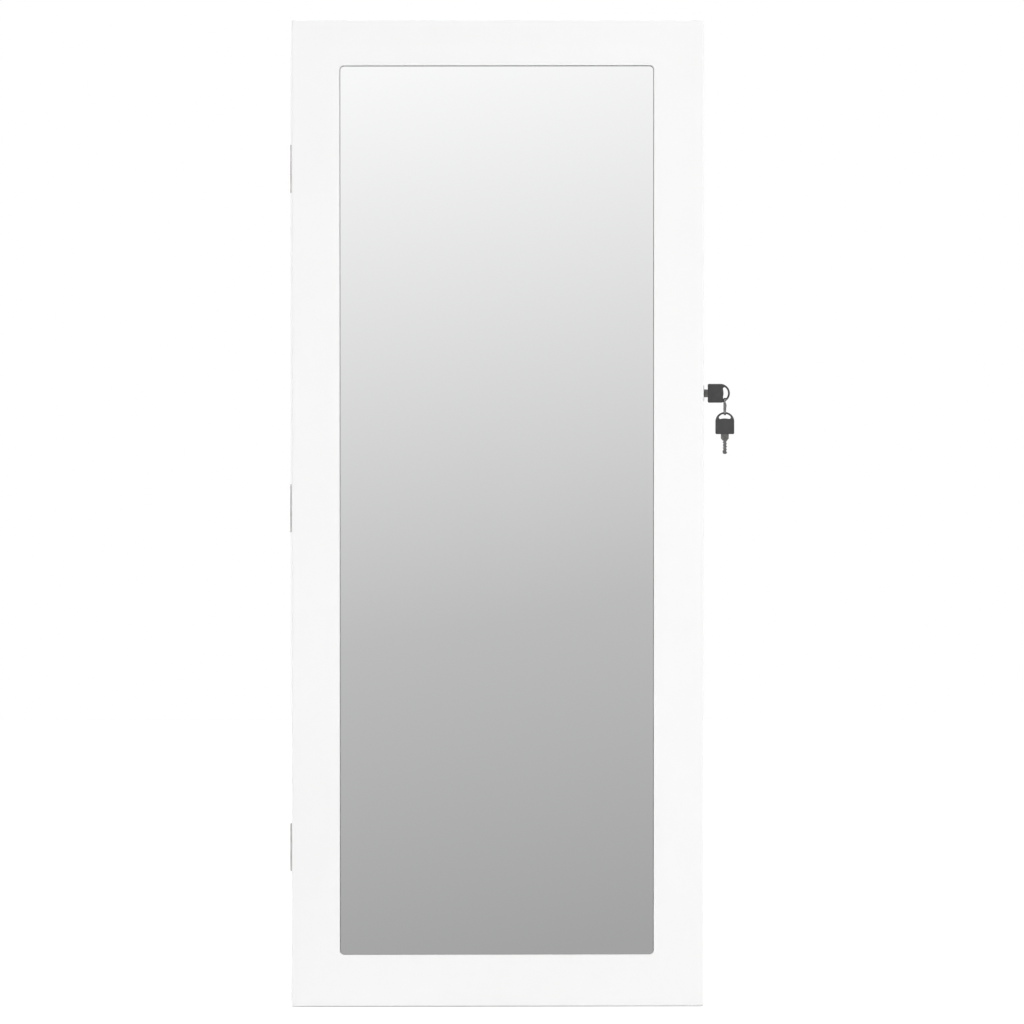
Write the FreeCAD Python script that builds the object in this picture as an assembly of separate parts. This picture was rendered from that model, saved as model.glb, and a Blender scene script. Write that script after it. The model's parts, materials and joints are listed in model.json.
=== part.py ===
import FreeCAD, Part
import math
import os

# Wall-hung jewellery cabinet with a mirrored, lockable door. Millimetres.
# X runs to the right, Y to the wall behind, Z up. The origin is the middle of
# the face that lies on the wall, so the door's front is at y = -depth.

# Overall size
width = 375.0
height = 900.0
depth = 100.0

# Boards
side_thickness = 12.0
end_thickness = 12.0
back_thickness = 5.0
door_thickness = 18.0
seam = 2.0
rebate_width = 6.0
rebate_clearance = 0.3
door_edge_radius = 1.2
back_lining_thickness = 3.0
back_lining_gap = 0.5
door_lining_thickness = 2.0
door_lining_side_margin = 37.5
door_lining_end_margin = 30.0
lining_corner = 6.0
shelf_thickness = 9.0
shelf_depth = 54.0
shelf_groove = 4.0
shelf_clearance = 0.05

# Mirror in the door's recess
frame_left = 44.1
frame_right = 45.9
frame_top = 42.7
frame_bottom = 47.3
mirror_thickness = 3.0
mirror_corner = 3.5
mirror_side_gap = 0.6
mirror_top_gap = 0.9
mirror_bottom_gap = 0.15
mirror_set_back = 0.5
tape_thickness = 1.0
tape_width = 20.0
tape_end_inset = 15.0
tape_count = 4

# Dowels that hold the four boards of the case
dowel_radius = 3.0
dowel_in_side = 8.0
dowel_in_end = 20.0
dowel_inset = 20.0
dowel_clearance = 0.05

# Wall screw holes in the back panel
wall_hole_side_margin = 50.0
wall_hole_end_margin = 70.0
wall_hole_radius = 2.75
wall_head_hole_radius = 6.5

# Countersunk wood screws: shank radius, head radius, head height and length
hinge_screw = {"shank": 1.25, "head": 2.3, "rise": 0.95, "length": 13.0}
plate_screw = {"shank": 1.25, "head": 2.3, "rise": 1.0, "length": 9.0}
catch_screw = {"shank": 1.25, "head": 2.3, "rise": 1.2, "length": 10.0}
screw_clearance = 0.02

# Staples that hold the back panel in its rebate
staples_per_side = 5
staples_per_end = 2
staple_end_inset = 38.0
staple_crown = 10.0
staple_leg = 14.0
staple_wire = 1.0
staple_inset = 3.0

# Hinges on the left edge: three small butt hinges
hinge_height = 44.0
hinge_top_inset = 136.5
hinge_bottom_inset = 144.5
hinge_axis_out = 0.3
barrel_radius = 1.8
hinge_pin_radius = 0.8
hinge_pin_clearance = 0.04
knuckle_count = 3
knuckle_gap = 0.2
leaf_width = 11.0
leaf_gap = 0.1
leaf_screw_pitch = 28.0
barrel_clearance = 0.3
leaf_clearance = 0.2

# Cam lock in the right side panel
lock_above_shelf = 47.5
lock_set_back = 18.0
lock_body_radius = 6.0
lock_body_flat = 5.2
lock_body_length = 20.0
lock_flange_radius = 8.0
lock_flange_thickness = 1.4
lock_flange_bevel = 0.5
lock_hole_clearance = 0.1
lock_nut_flats = 16.0
lock_nut_thickness = 3.5
plug_radius = 4.5
plug_head_radius = 5.3
plug_head_length = 2.6
plug_recess = 0.2
plug_clearance = 0.05
plug_end_gap = 0.1
stub_size = 5.0
stub_clearance = 0.05
cam_reach = 16.0
cam_width = 10.0
cam_thickness = 2.0
cam_corner = 2.0
cam_screw_head_radius = 3.2
cam_screw_head_height = 1.6
cam_screw_radius = 1.5
cam_screw_depth = 4.0

# Strike on the door's back that the cam turns in front of
strike_thickness = 1.5
strike_base_width = 12.0
strike_base_height = 18.0
strike_base_rise = 3.0
strike_tab_height = 8.0
strike_tab_rise = 7.5
strike_cam_gap = 0.6
strike_web_gap = 1.4
strike_lip_past = 1.0
strike_screw_pitch = 10.0

# Keys: a flat steel blade with a moulded bow
blade_length = 12.2
blade_width = 4.0
blade_thickness = 1.8
blade_tip_radius = 1.6
blade_cut_depth = 0.7
blade_cut_pitch = 2.6
blade_cuts = 4
keyway_clearance = 0.15
keyway_end_gap = 1.0
collar_length = 5.9
collar_shoulder = 2.0
collar_width = 7.2
collar_thickness = 2.2
collar_seat_gap = 0.2
bow_length = 20.2
bow_width = 17.2
bow_thickness = 2.5
bow_rim = 1.5
bow_edge_bevel = 0.6
bow_corner = 1.2
bow_hole_chord = 2.3
bow_hole_bulge = 0.4
bow_hole_corner = 1.0
bow_panel_margin = 1.6
bow_panel_depth = 0.3
bow_tang_length = 9.0
bow_tang_clearance = 0.02

# Split ring that joins the two keys
ring_wire_radius = 0.55
ring_outer_radius = 8.25
ring_hang_gap = 0.3
ring_from_bow_centre = 4.0
ring_seam_share = 0.75

# Inside of the case
peg_rail_height = 22.0
peg_rail_thickness = 12.0
peg_rail_top_gap = 11.0
peg_rail_side_gap = 0.5
peg_count = 10
peg_end_margin = 22.5
peg_radius = 1.3
peg_length = 15.0
peg_depth = 6.0
peg_tilt = 15.0
peg_cap_radius = 2.4
peg_cap_length = 2.0
peg_clearance = 0.03
# Shares of the inside's clear height, from the top down
necklace_share = 378.0
rack_share = 181.0
middle_share = 131.0
lower_share = 159.0
rail_rod_radius = 2.0
rail_rod_rise = 22.0
rail_rod_inset = 5.0
rail_rod_in_side = 5.0
rail_rod_clearance = 0.05

# Ring tray and earring rack in the middle of the case
rack_gap = 3.0
rack_head_room = 15.0
tray_depth = 24.0
tray_wall = 5.0
tray_floor = 3.0
roll_count = 8
roll_gap = 0.6
roll_end_gap = 0.5
roll_back_gap = 0.3
roll_flat = 2.5
roll_end_bevel = 3.5
roll_sides = 16
rack_depth = 14.0
rack_bar = 5.0
slat_count = 6
slat_height = 9.0
slat_thickness = 2.4
slat_set_back = 5.0
slat_notches = 8
slat_notch_depth = 1.6
slat_notch_width = 3.0

# On the back of the door
door_rail_end_gap = 20.0
door_rail_height = 22.0
door_rail_thickness = 8.0
door_rail_drop = 34.0
door_peg_count = 7
door_peg_end_margin = 22.0
door_peg_depth = 5.0
gutter_end_gap = 20.0
gutter_height = 55.0
gutter_depth = 14.0
gutter_wall = 2.5
gutter_top = -5.0

# Magnet catch on the right wall and its plate on the door
catch_above_shelf = 70.0
catch_length = 40.0
catch_width = 14.0
catch_depth = 16.0
catch_wall = 1.5
catch_set_back = 1.1
catch_flange_thickness = 2.5
catch_flange_out = 7.0
catch_pole_thickness = 1.2
catch_pole_proud = 0.8
catch_pole_length = 34.0
catch_magnet_depth = 9.0
catch_pack_clearance = 0.1
catch_plate_length = 38.0
catch_plate_width = 11.0
catch_plate_thickness = 1.0
bumper_radius = 4.0
bumper_thickness = 1.6
bumper_inset = 15.0

# Small hidden bars have this many sides, which keeps their faces few
small_bar_sides = 8

# How near counts as touching or level when edges are picked
near = 1e-3
exact = 1e-6

# Worked-out places
left = -width / 2
right = width / 2
bottom = -height / 2
top = height / 2
front = -depth
door_back = front + door_thickness
case_front = door_back + seam
inner_left = left + side_thickness
inner_right = right - side_thickness
inner_bottom = bottom + end_thickness
inner_top = top - end_thickness
inner_width = inner_right - inner_left
inner_height = inner_top - inner_bottom
lining_face = -back_thickness - back_lining_thickness
door_lining_face = door_back + door_lining_thickness
door_lining_x = (left + door_lining_side_margin, right - door_lining_side_margin)
door_lining_z = (bottom + door_lining_end_margin, top - door_lining_end_margin)
mirror_x = (left + frame_left, right - frame_right)
mirror_z = (bottom + frame_bottom, top - frame_top)
mirror_face = front + mirror_set_back
mirror_back = mirror_face + mirror_thickness
recess_floor = mirror_back + tape_thickness
hinge_x = left - hinge_axis_out
hinge_y = (case_front + door_back) / 2
upper_hinge_z = top - hinge_top_inset
lower_hinge_z = bottom + hinge_bottom_inset
hinge_z = {
    "upper": upper_hinge_z,
    "middle": (upper_hinge_z + lower_hinge_z) / 2,
    "lower": lower_hinge_z,
}
space_shares = [necklace_share, rack_share, middle_share, lower_share]
clear_height = inner_height - 3 * shelf_thickness
share_height = clear_height / sum(space_shares)
upper_shelf_top = inner_top - necklace_share * share_height
middle_shelf_top = upper_shelf_top - shelf_thickness - rack_share * share_height
lower_shelf_top = middle_shelf_top - shelf_thickness - middle_share * share_height
shelf_tops = [upper_shelf_top, middle_shelf_top, lower_shelf_top]
rack_height = rack_share * share_height - rack_head_room
rack_width = (inner_width - 3 * rack_gap) / 2
peg_pitch = (inner_width - 2 * peg_end_margin) / (peg_count - 1)
door_rail_width = max(door_lining_x) - min(door_lining_x) - 2 * door_rail_end_gap
door_peg_pitch = (door_rail_width - 2 * door_peg_end_margin) / (door_peg_count - 1)
gutter_width = max(door_lining_x) - min(door_lining_x) - 2 * gutter_end_gap
lock_y = case_front + lock_set_back
lock_height = upper_shelf_top + lock_above_shelf
catch_height = lower_shelf_top + catch_above_shelf

to_right = FreeCAD.Vector(1, 0, 0)
to_left = FreeCAD.Vector(-1, 0, 0)
to_wall = FreeCAD.Vector(0, 1, 0)
to_front = FreeCAD.Vector(0, -1, 0)
upward = FreeCAD.Vector(0, 0, 1)

os.makedirs("parts", exist_ok=True)


def point(x, y, z):
    return FreeCAD.Vector(x, y, z)


def slab(x_span, y_span, z_span):
    low = point(min(x_span), min(y_span), min(z_span))
    high = point(max(x_span), max(y_span), max(z_span))
    size = high - low
    return Part.makeBox(size.x, size.y, size.z, low)


def cylinder(start, way, radius, length):
    return Part.makeCylinder(radius, length, start, way)


def rounded(shape, radius, wanted):
    edges = [edge for edge in shape.Edges if wanted(edge)]
    return shape.makeFillet(radius, edges)


def bevelled(shape, size, wanted):
    edges = [edge for edge in shape.Edges if wanted(edge)]
    return shape.makeChamfer(size, edges)


def ring_of_points(middle, way, radius, sides):
    """Corners of an even polygon whose flats lie at the radius."""
    across = upward if abs(way.z) < 0.5 else to_right
    first = way.cross(across).normalize()
    second = way.cross(first)
    corner = radius / math.cos(math.pi / sides)
    turns = [(index + 0.5) * 2 * math.pi / sides for index in range(sides)]
    return [
        middle + first * (corner * math.cos(turn)) + second * (corner * math.sin(turn))
        for turn in turns
    ]


def many_sided(start, way, steps, sides=small_bar_sides):
    """Even-sided bar through steps, each a distance along way and a radius."""
    rings = [ring_of_points(start + way * far, way, radius, sides) for far, radius in steps]
    faces = [Part.Face(Part.makePolygon(ring + ring[:1])) for ring in (rings[0], rings[-1])]
    for near_ring, far_ring in zip(rings, rings[1:]):
        for index in range(sides):
            after = (index + 1) % sides
            corners = [near_ring[index], near_ring[after], far_ring[after], far_ring[index]]
            faces.append(Part.Face(Part.makePolygon(corners + corners[:1])))
    solid = Part.Solid(Part.Shell(faces))
    solid.fixTolerance(exact)
    return solid if solid.Volume > 0 else solid.reversed()


def small_bar(start, way, radius, length):
    return many_sided(start, way, [(0, radius), (length, radius)])


def edge_along(edge, way):
    if not isinstance(edge.Curve, Part.Line):
        return False
    return abs(abs(edge.Curve.Direction.dot(way)) - 1) < exact


def cut_all(shape, tools):
    for tool in tools:
        shape = shape.cut(tool)
    return shape


def save(node, shape):
    shape.exportStep("parts/" + node + ".step")


def save_group(node, solids):
    save(node, Part.makeCompound(solids))


def spread(count, pitch):
    return [(index - (count - 1) / 2) * pitch for index in range(count)]


def screw(head, way, kind, grow=0.0):
    """Countersunk screw whose flat head lies at the point head."""
    shank = kind["shank"] + grow
    steps = [(0, kind["head"] + grow), (kind["rise"], shank), (kind["length"] + grow, shank)]
    return many_sided(head, way, steps)


def screws(heads, way, kind):
    return [screw(head, way, kind) for head in heads]


def screw_holes(heads, way, kind):
    return [screw(head, way, kind, screw_clearance) for head in heads]


# Case boards


def dowel_starts():
    """Where each dowel starts inside a side panel, with the way it points."""
    places = []
    for end in (1, -1):
        z = end * (height - end_thickness) / 2
        for y in (-dowel_inset, case_front + dowel_inset):
            places.append((point(inner_left - dowel_in_side, y, z), to_right))
            places.append((point(inner_right + dowel_in_side, y, z), to_left))
    return places


def dowels(grow=0.0):
    length = dowel_in_side + dowel_in_end
    return [
        small_bar(start - way * grow, way, dowel_radius + grow, length + 2 * grow)
        for start, way in dowel_starts()
    ]


def back_staples(grow=0.0):
    """Staples driven into the rebate's floor, flush with the rear face."""
    x = inner_width / 2 + rebate_width - staple_inset
    z = (height - 2 * end_thickness) / 2 + rebate_width - staple_inset
    half = staple_crown / 2 + grow
    wire = staple_wire / 2 + grow
    made = []
    side_pitch = 2 * (z - staple_end_inset) / (staples_per_side - 1)
    for middle in spread(staples_per_side, side_pitch):
        for side in (-x, x):
            x_span = (side - wire, side + wire)
            block = slab(x_span, (-staple_leg, 0), (middle - half, middle + half))
            gap = half - 2 * wire
            between_legs = slab(x_span, (-staple_leg, -staple_wire), (middle - gap, middle + gap))
            made.append(block.cut(between_legs))
    for middle in spread(staples_per_end, inner_width / staples_per_end):
        for end in (-z, z):
            z_span = (end - wire, end + wire)
            block = slab((middle - half, middle + half), (-staple_leg, 0), z_span)
            gap = half - 2 * wire
            between_legs = slab((middle - gap, middle + gap), (-staple_leg, -staple_wire), z_span)
            made.append(block.cut(between_legs))
    return made


def wall_hole_places():
    return [
        (x * (width / 2 - wall_hole_side_margin), z * (height / 2 - wall_hole_end_margin))
        for x in (-1, 1)
        for z in (-1, 1)
    ]


def rebate():
    x = inner_width / 2 + rebate_width
    z = (height - 2 * end_thickness) / 2 + rebate_width
    return slab((-x, x), (-back_thickness, 0), (-z, z))


def shelf_grooves():
    """Grooves in the side panels that carry the shelves' ends."""
    reach = inner_width / 2 + shelf_groove
    grow = shelf_clearance
    return [
        slab(
            (-reach - grow, reach + grow),
            (lining_face - shelf_depth - grow, lining_face + back_lining_thickness),
            (shelf_top - shelf_thickness - grow, shelf_top + grow),
        )
        for shelf_top in shelf_tops
    ]


def rail_rods(grow=0.0):
    """Rods that keep things on the two lowest floors."""
    y = lining_face - shelf_depth + rail_rod_inset
    reach = rail_rod_in_side + grow
    return [
        cylinder(
            point(inner_left - reach, y, floor + rail_rod_rise),
            to_right,
            rail_rod_radius + grow,
            inner_width + 2 * reach,
        )
        for floor in (lower_shelf_top, inner_bottom)
    ]


def hinge_notches():
    """Room that the hinge barrels take out of the case and the door."""
    room = hinge_height / 2 + barrel_clearance
    return [
        cylinder(
            point(hinge_x, hinge_y, z - room), upward, barrel_radius + barrel_clearance, 2 * room
        )
        for z in hinge_z.values()
    ]


def leaf_screw_heads(side):
    """Heads of the screws in the case leaves (side 1) or door leaves (side -1)."""
    y = hinge_y + side * leaf_gap / 2
    x = left + side_thickness / 2
    return [
        point(x, y, z + step) for z in hinge_z.values() for step in spread(2, leaf_screw_pitch)
    ]


def lock_bore(radius, flat, x_span):
    start = point(min(x_span), lock_y, lock_height)
    bore = cylinder(start, to_right, radius, max(x_span) - min(x_span))
    flats = slab(
        x_span, (lock_y - flat, lock_y + flat), (lock_height - radius, lock_height + radius)
    )
    return bore.common(flats)


def catch_screw_heads():
    x = inner_right - catch_flange_thickness
    y = case_front + catch_set_back + catch_depth / 2
    out = catch_length / 2 + catch_flange_out / 2
    return [point(x, y, catch_height - out), point(x, y, catch_height + out)]


def side_panel(outer, inner):
    panel = slab((outer, inner), (case_front, 0), (bottom, top))
    panel = panel.cut(rebate())
    panel = cut_all(panel, dowels(dowel_clearance))
    panel = cut_all(panel, back_staples(screw_clearance))
    panel = cut_all(panel, shelf_grooves())
    return cut_all(panel, rail_rods(rail_rod_clearance))


def left_panel():
    panel = cut_all(side_panel(left, inner_left), hinge_notches())
    return cut_all(panel, screw_holes(leaf_screw_heads(1), to_wall, hinge_screw))


def right_panel():
    panel = side_panel(right, inner_right)
    panel = panel.cut(
        lock_bore(
            lock_body_radius + lock_hole_clearance,
            lock_body_flat + lock_hole_clearance,
            (inner_right, right),
        )
    )
    return cut_all(panel, screw_holes(catch_screw_heads(), to_right, catch_screw))


def end_panel(outer, inner):
    panel = slab((inner_left, inner_right), (case_front, 0), (outer, inner))
    panel = panel.cut(rebate())
    panel = cut_all(panel, dowels(dowel_clearance))
    return cut_all(panel, back_staples(screw_clearance))


def back_panel():
    x = inner_width / 2 + rebate_width - rebate_clearance
    z = (height - 2 * end_thickness) / 2 + rebate_width - rebate_clearance
    panel = slab((-x, x), (-back_thickness, 0), (-z, z))
    for hole_x, hole_z in wall_hole_places():
        start = point(hole_x, 0, hole_z)
        panel = panel.cut(cylinder(start, to_front, wall_hole_radius, back_thickness))
    return cut_all(panel, back_staples(screw_clearance))


def back_lining():
    x = inner_width / 2 - back_lining_gap
    z = (height - 2 * end_thickness) / 2 - back_lining_gap
    lining = slab((-x, x), (lining_face, -back_thickness), (-z, z))
    for hole_x, hole_z in wall_hole_places():
        start = point(hole_x, -back_thickness, hole_z)
        lining = lining.cut(
            cylinder(start, to_front, wall_head_hole_radius, back_lining_thickness)
        )
    return lining


def make_case():
    save("left_side_panel", left_panel())
    save("right_side_panel", right_panel())
    save("top_panel", end_panel(top, inner_top))
    save("bottom_panel", end_panel(bottom, inner_bottom))
    save("back_panel", back_panel())
    save("back_lining", back_lining())
    save_group("case_dowels", dowels())
    save_group("back_staples", back_staples())


# Shelves, rods and pegs


def pegs(places, way, length):
    """Straight pegs with a wider cap, each starting at a place and pointing along way."""
    made = []
    for start in places:
        stem = small_bar(start, way, peg_radius, length)
        cap = small_bar(start + way * length, way, peg_cap_radius, peg_cap_length)
        made.append(stem.fuse(cap))
    return made


def peg_way(forward):
    tilt = math.radians(peg_tilt)
    return point(0, forward * math.cos(tilt), math.sin(tilt))


def peg_holes(places, way, length):
    return [small_bar(start, way, peg_radius + peg_clearance, length) for start in places]


def case_peg_starts():
    y = lining_face - peg_rail_thickness
    z = inner_top - peg_rail_top_gap - peg_rail_height / 2
    back = peg_way(-1) * peg_depth
    return [point(x, y, z) - back for x in spread(peg_count, peg_pitch)]


def make_pegs():
    reach = inner_width / 2 - peg_rail_side_gap
    z = inner_top - peg_rail_top_gap
    rail = slab(
        (-reach, reach), (lining_face - peg_rail_thickness, lining_face), (z - peg_rail_height, z)
    )
    starts = case_peg_starts()
    length = peg_depth + peg_length
    rail = cut_all(rail, peg_holes(starts, peg_way(-1), length))
    save("necklace_rail", rail)
    save_group("necklace_pegs", pegs(starts, peg_way(-1), length))


def make_shelves():
    reach = inner_width / 2 + shelf_groove
    for name, shelf_top in zip(("upper", "middle", "lower"), shelf_tops):
        shelf = slab(
            (-reach, reach),
            (lining_face - shelf_depth, lining_face),
            (shelf_top - shelf_thickness, shelf_top),
        )
        save(name + "_shelf", shelf)
    save_group("retaining_rods", rail_rods())


# Ring tray and earring rack


def frame_boards(x_low, bar, board_depth):
    """Two upright boards and two level boards between them."""
    x_high = x_low + rack_width
    z_low = middle_shelf_top
    z_high = z_low + rack_height
    y_span = (lining_face - board_depth, lining_face)
    uprights = [
        slab((x_low, x_low + bar), y_span, (z_low, z_high)),
        slab((x_high - bar, x_high), y_span, (z_low, z_high)),
    ]
    inside = (x_low + bar, x_high - bar)
    levels = [
        slab(inside, y_span, (z_low, z_low + bar)),
        slab(inside, y_span, (z_high - bar, z_high)),
    ]
    return uprights, levels


def ring_roll(x_span, z_middle, roll_width):
    """One soft roll, drawn in at its ends and flattened where it lies on the floor."""
    radius = roll_width / 2
    back = lining_face - tray_floor - roll_back_gap
    axis_y = back - radius + roll_flat
    low = min(x_span)
    high = max(x_span)
    steps = [
        (0, radius - roll_end_bevel),
        (roll_end_bevel, radius),
        (high - low - roll_end_bevel, radius),
        (high - low, radius - roll_end_bevel),
    ]
    roll = many_sided(point(low, axis_y, z_middle), to_right, steps, roll_sides)
    behind = slab((low, high), (back, back + radius), (z_middle - radius, z_middle + radius))
    return roll.cut(behind)


def make_ring_tray():
    x_low = inner_left + rack_gap
    uprights, levels = frame_boards(x_low, tray_wall, tray_depth)
    inner_x = (x_low + tray_wall, x_low + rack_width - tray_wall)
    inner_z = (middle_shelf_top + tray_wall, middle_shelf_top + rack_height - tray_wall)
    floor = slab(inner_x, (lining_face - tray_floor, lining_face), inner_z)
    save_group("ring_tray_frame", uprights + levels)
    save("ring_tray_floor", floor)
    pitch = (max(inner_z) - min(inner_z)) / roll_count
    middle = sum(inner_z) / 2
    roll_span = (min(inner_x) + roll_end_gap, max(inner_x) - roll_end_gap)
    rolls = [
        ring_roll(roll_span, middle + step, pitch - roll_gap)
        for step in spread(roll_count, pitch)
    ]
    save_group("ring_cushions", rolls)


def earring_slat(x_span, z_middle):
    """Slat with a row of small notches in its top edge for earring hooks."""
    y = lining_face - slat_set_back
    z_top = z_middle + slat_height / 2
    slat = slab(x_span, (y - slat_thickness, y), (z_middle - slat_height / 2, z_top))
    length = max(x_span) - min(x_span)
    half = slat_notch_width / 2
    for step in spread(slat_notches, length / slat_notches):
        x = sum(x_span) / 2 + step
        corners = [
            point(x - half, y, z_top),
            point(x, y, z_top - slat_notch_depth),
            point(x + half, y, z_top),
            point(x - half, y, z_top),
        ]
        slat = slat.cut(Part.Face(Part.makePolygon(corners)).extrude(to_front * slat_thickness))
    return slat


def make_earring_rack():
    x_low = inner_left + 2 * rack_gap + rack_width
    uprights, levels = frame_boards(x_low, rack_bar, rack_depth)
    inner_x = (x_low + rack_bar, x_low + rack_width - rack_bar)
    pitch = (rack_height - 2 * rack_bar) / slat_count
    middle = middle_shelf_top + rack_height / 2
    slats = [earring_slat(inner_x, middle + step) for step in spread(slat_count, pitch)]
    save_group("earring_rack_frame", uprights + levels)
    save_group("earring_slats", slats)


# Hinges


def knuckle(index, z_middle, radius, gap):
    pitch = hinge_height / knuckle_count
    z = z_middle - hinge_height / 2 + index * pitch + gap / 2
    return cylinder(point(hinge_x, hinge_y, z), upward, radius, pitch - gap)


def hinge_leaf(side, z_middle):
    """Leaf on the case (side 1, outer knuckles) or on the door (side -1)."""
    y_span = (hinge_y + side * leaf_gap / 2, hinge_y + side * seam / 2)
    z_span = (z_middle - hinge_height / 2, z_middle + hinge_height / 2)
    leaf = slab((hinge_x, left + leaf_width), y_span, z_span)
    own = 0 if side == 1 else 1
    pitch = hinge_height / knuckle_count
    cut_back = hinge_x + barrel_radius + leaf_clearance
    for index in range(knuckle_count):
        low = min(z_span) + index * pitch
        if index % 2 != own:
            room = (low - knuckle_gap / 2, low + pitch + knuckle_gap / 2)
            leaf = leaf.cut(slab((hinge_x, cut_back), y_span, room))
    for index in range(own, knuckle_count, 2):
        leaf = leaf.fuse(knuckle(index, z_middle, barrel_radius, knuckle_gap))
    bore_start = point(hinge_x, hinge_y, min(z_span))
    bore = cylinder(bore_start, upward, hinge_pin_radius + hinge_pin_clearance, hinge_height)
    return leaf.cut(bore).removeSplitter()


def hinge_pin(z_middle):
    low = z_middle - hinge_height / 2
    return cylinder(point(hinge_x, hinge_y, low), upward, hinge_pin_radius, hinge_height)


def make_hinges():
    for side, owner, way in ((1, "case", to_wall), (-1, "door", to_front)):
        holes = screw_holes(leaf_screw_heads(side), way, hinge_screw)
        for name, z in hinge_z.items():
            save(name + "_hinge_" + owner + "_leaf", cut_all(hinge_leaf(side, z), holes))
        save_group(owner + "_leaf_screws", screws(leaf_screw_heads(side), way, hinge_screw))
    for name, z in hinge_z.items():
        save(name + "_hinge_pin", hinge_pin(z))


# Door


def upright_plate(x_span, y_span, z_span, corner):
    """Plate in the door's plane with round corners."""
    plate = slab(x_span, y_span, z_span)
    return rounded(plate, corner, lambda edge: edge_along(edge, to_wall))


def strike_screw_heads():
    x = strike_web_x() - strike_base_width / 2
    y = door_back + strike_thickness
    z = lock_height + strike_base_rise + strike_base_height / 2
    return [point(x, y, z + step) for step in spread(2, strike_screw_pitch)]


def catch_plate_middle():
    return point(inner_right - catch_width / 2, door_back + catch_plate_thickness, catch_height)


def door_panel():
    panel = slab((left, right), (front, door_back), (bottom, top))
    panel = rounded(panel, door_edge_radius, lambda edge: edge.BoundBox.YMax < front + near)
    recess = upright_plate(
        (min(mirror_x) - mirror_side_gap, max(mirror_x) + mirror_side_gap),
        (front, recess_floor),
        (min(mirror_z) - mirror_bottom_gap, max(mirror_z) + mirror_top_gap),
        mirror_corner + mirror_side_gap,
    )
    panel = cut_all(panel.cut(recess), hinge_notches())
    panel = cut_all(panel, screw_holes(leaf_screw_heads(-1), to_front, hinge_screw))
    panel = cut_all(panel, screw_holes(strike_screw_heads(), to_front, plate_screw))
    return cut_all(panel, screw_holes([catch_plate_middle()], to_front, plate_screw))


def mirror_tapes():
    middle = sum(mirror_x) / 2
    pitch = (max(mirror_x) - min(mirror_x) - tape_width) / tape_count
    z_span = (min(mirror_z) + tape_end_inset, max(mirror_z) - tape_end_inset)
    return [
        slab(
            (middle + step - tape_width / 2, middle + step + tape_width / 2),
            (mirror_back, recess_floor),
            z_span,
        )
        for step in spread(tape_count, pitch)
    ]


def door_rail_z():
    return max(door_lining_z) - door_rail_drop


def make_door_rail():
    y = door_lining_face + door_rail_thickness
    z = door_rail_z()
    half = door_rail_height / 2
    rail = slab(
        (-door_rail_width / 2, door_rail_width / 2), (door_lining_face, y), (z - half, z + half)
    )
    back = peg_way(1) * door_peg_depth
    starts = [point(x, y, z) - back for x in spread(door_peg_count, door_peg_pitch)]
    length = door_peg_depth + peg_length
    rail = cut_all(rail, peg_holes(starts, peg_way(1), length))
    save("door_necklace_rail", rail)
    save_group("door_pegs", pegs(starts, peg_way(1), length))


def make_gutter():
    """Shallow pocket that catches the ends of necklaces hung on the door."""
    x = gutter_width / 2
    y = door_lining_face + gutter_depth
    z_span = (gutter_top - gutter_height, gutter_top)
    front_board = slab((-x, x), (y - gutter_wall, y), z_span)
    inner_y = (door_lining_face, y - gutter_wall)
    floor = slab((-x, x), inner_y, (min(z_span), min(z_span) + gutter_wall))
    above_floor = (min(z_span) + gutter_wall, gutter_top)
    ends = [
        slab((-x, -x + gutter_wall), inner_y, above_floor),
        slab((x - gutter_wall, x), inner_y, above_floor),
    ]
    save("gutter_front", front_board)
    save("gutter_floor", floor)
    save_group("gutter_ends", ends)


def bumper(z):
    start = point(right - side_thickness / 2, door_back, z)
    half = bumper_thickness / 2
    steps = [(0, bumper_radius), (half, bumper_radius), (bumper_thickness, bumper_radius - half)]
    return many_sided(start, to_wall, steps)


def make_door():
    save("door_panel", door_panel())
    mirror = upright_plate(mirror_x, (mirror_face, mirror_back), mirror_z, mirror_corner)
    save("mirror_glass", mirror)
    save_group("mirror_tapes", mirror_tapes())
    y_span = (door_back, door_lining_face)
    lining = upright_plate(door_lining_x, y_span, door_lining_z, lining_corner)
    save("door_lining", lining)
    make_door_rail()
    make_gutter()
    save_group("door_bumpers", [bumper(top - bumper_inset), bumper(bottom + bumper_inset)])


# Magnet catch


def catch_pocket_half():
    return catch_width / 2 - catch_wall - catch_flange_thickness / 2


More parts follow.
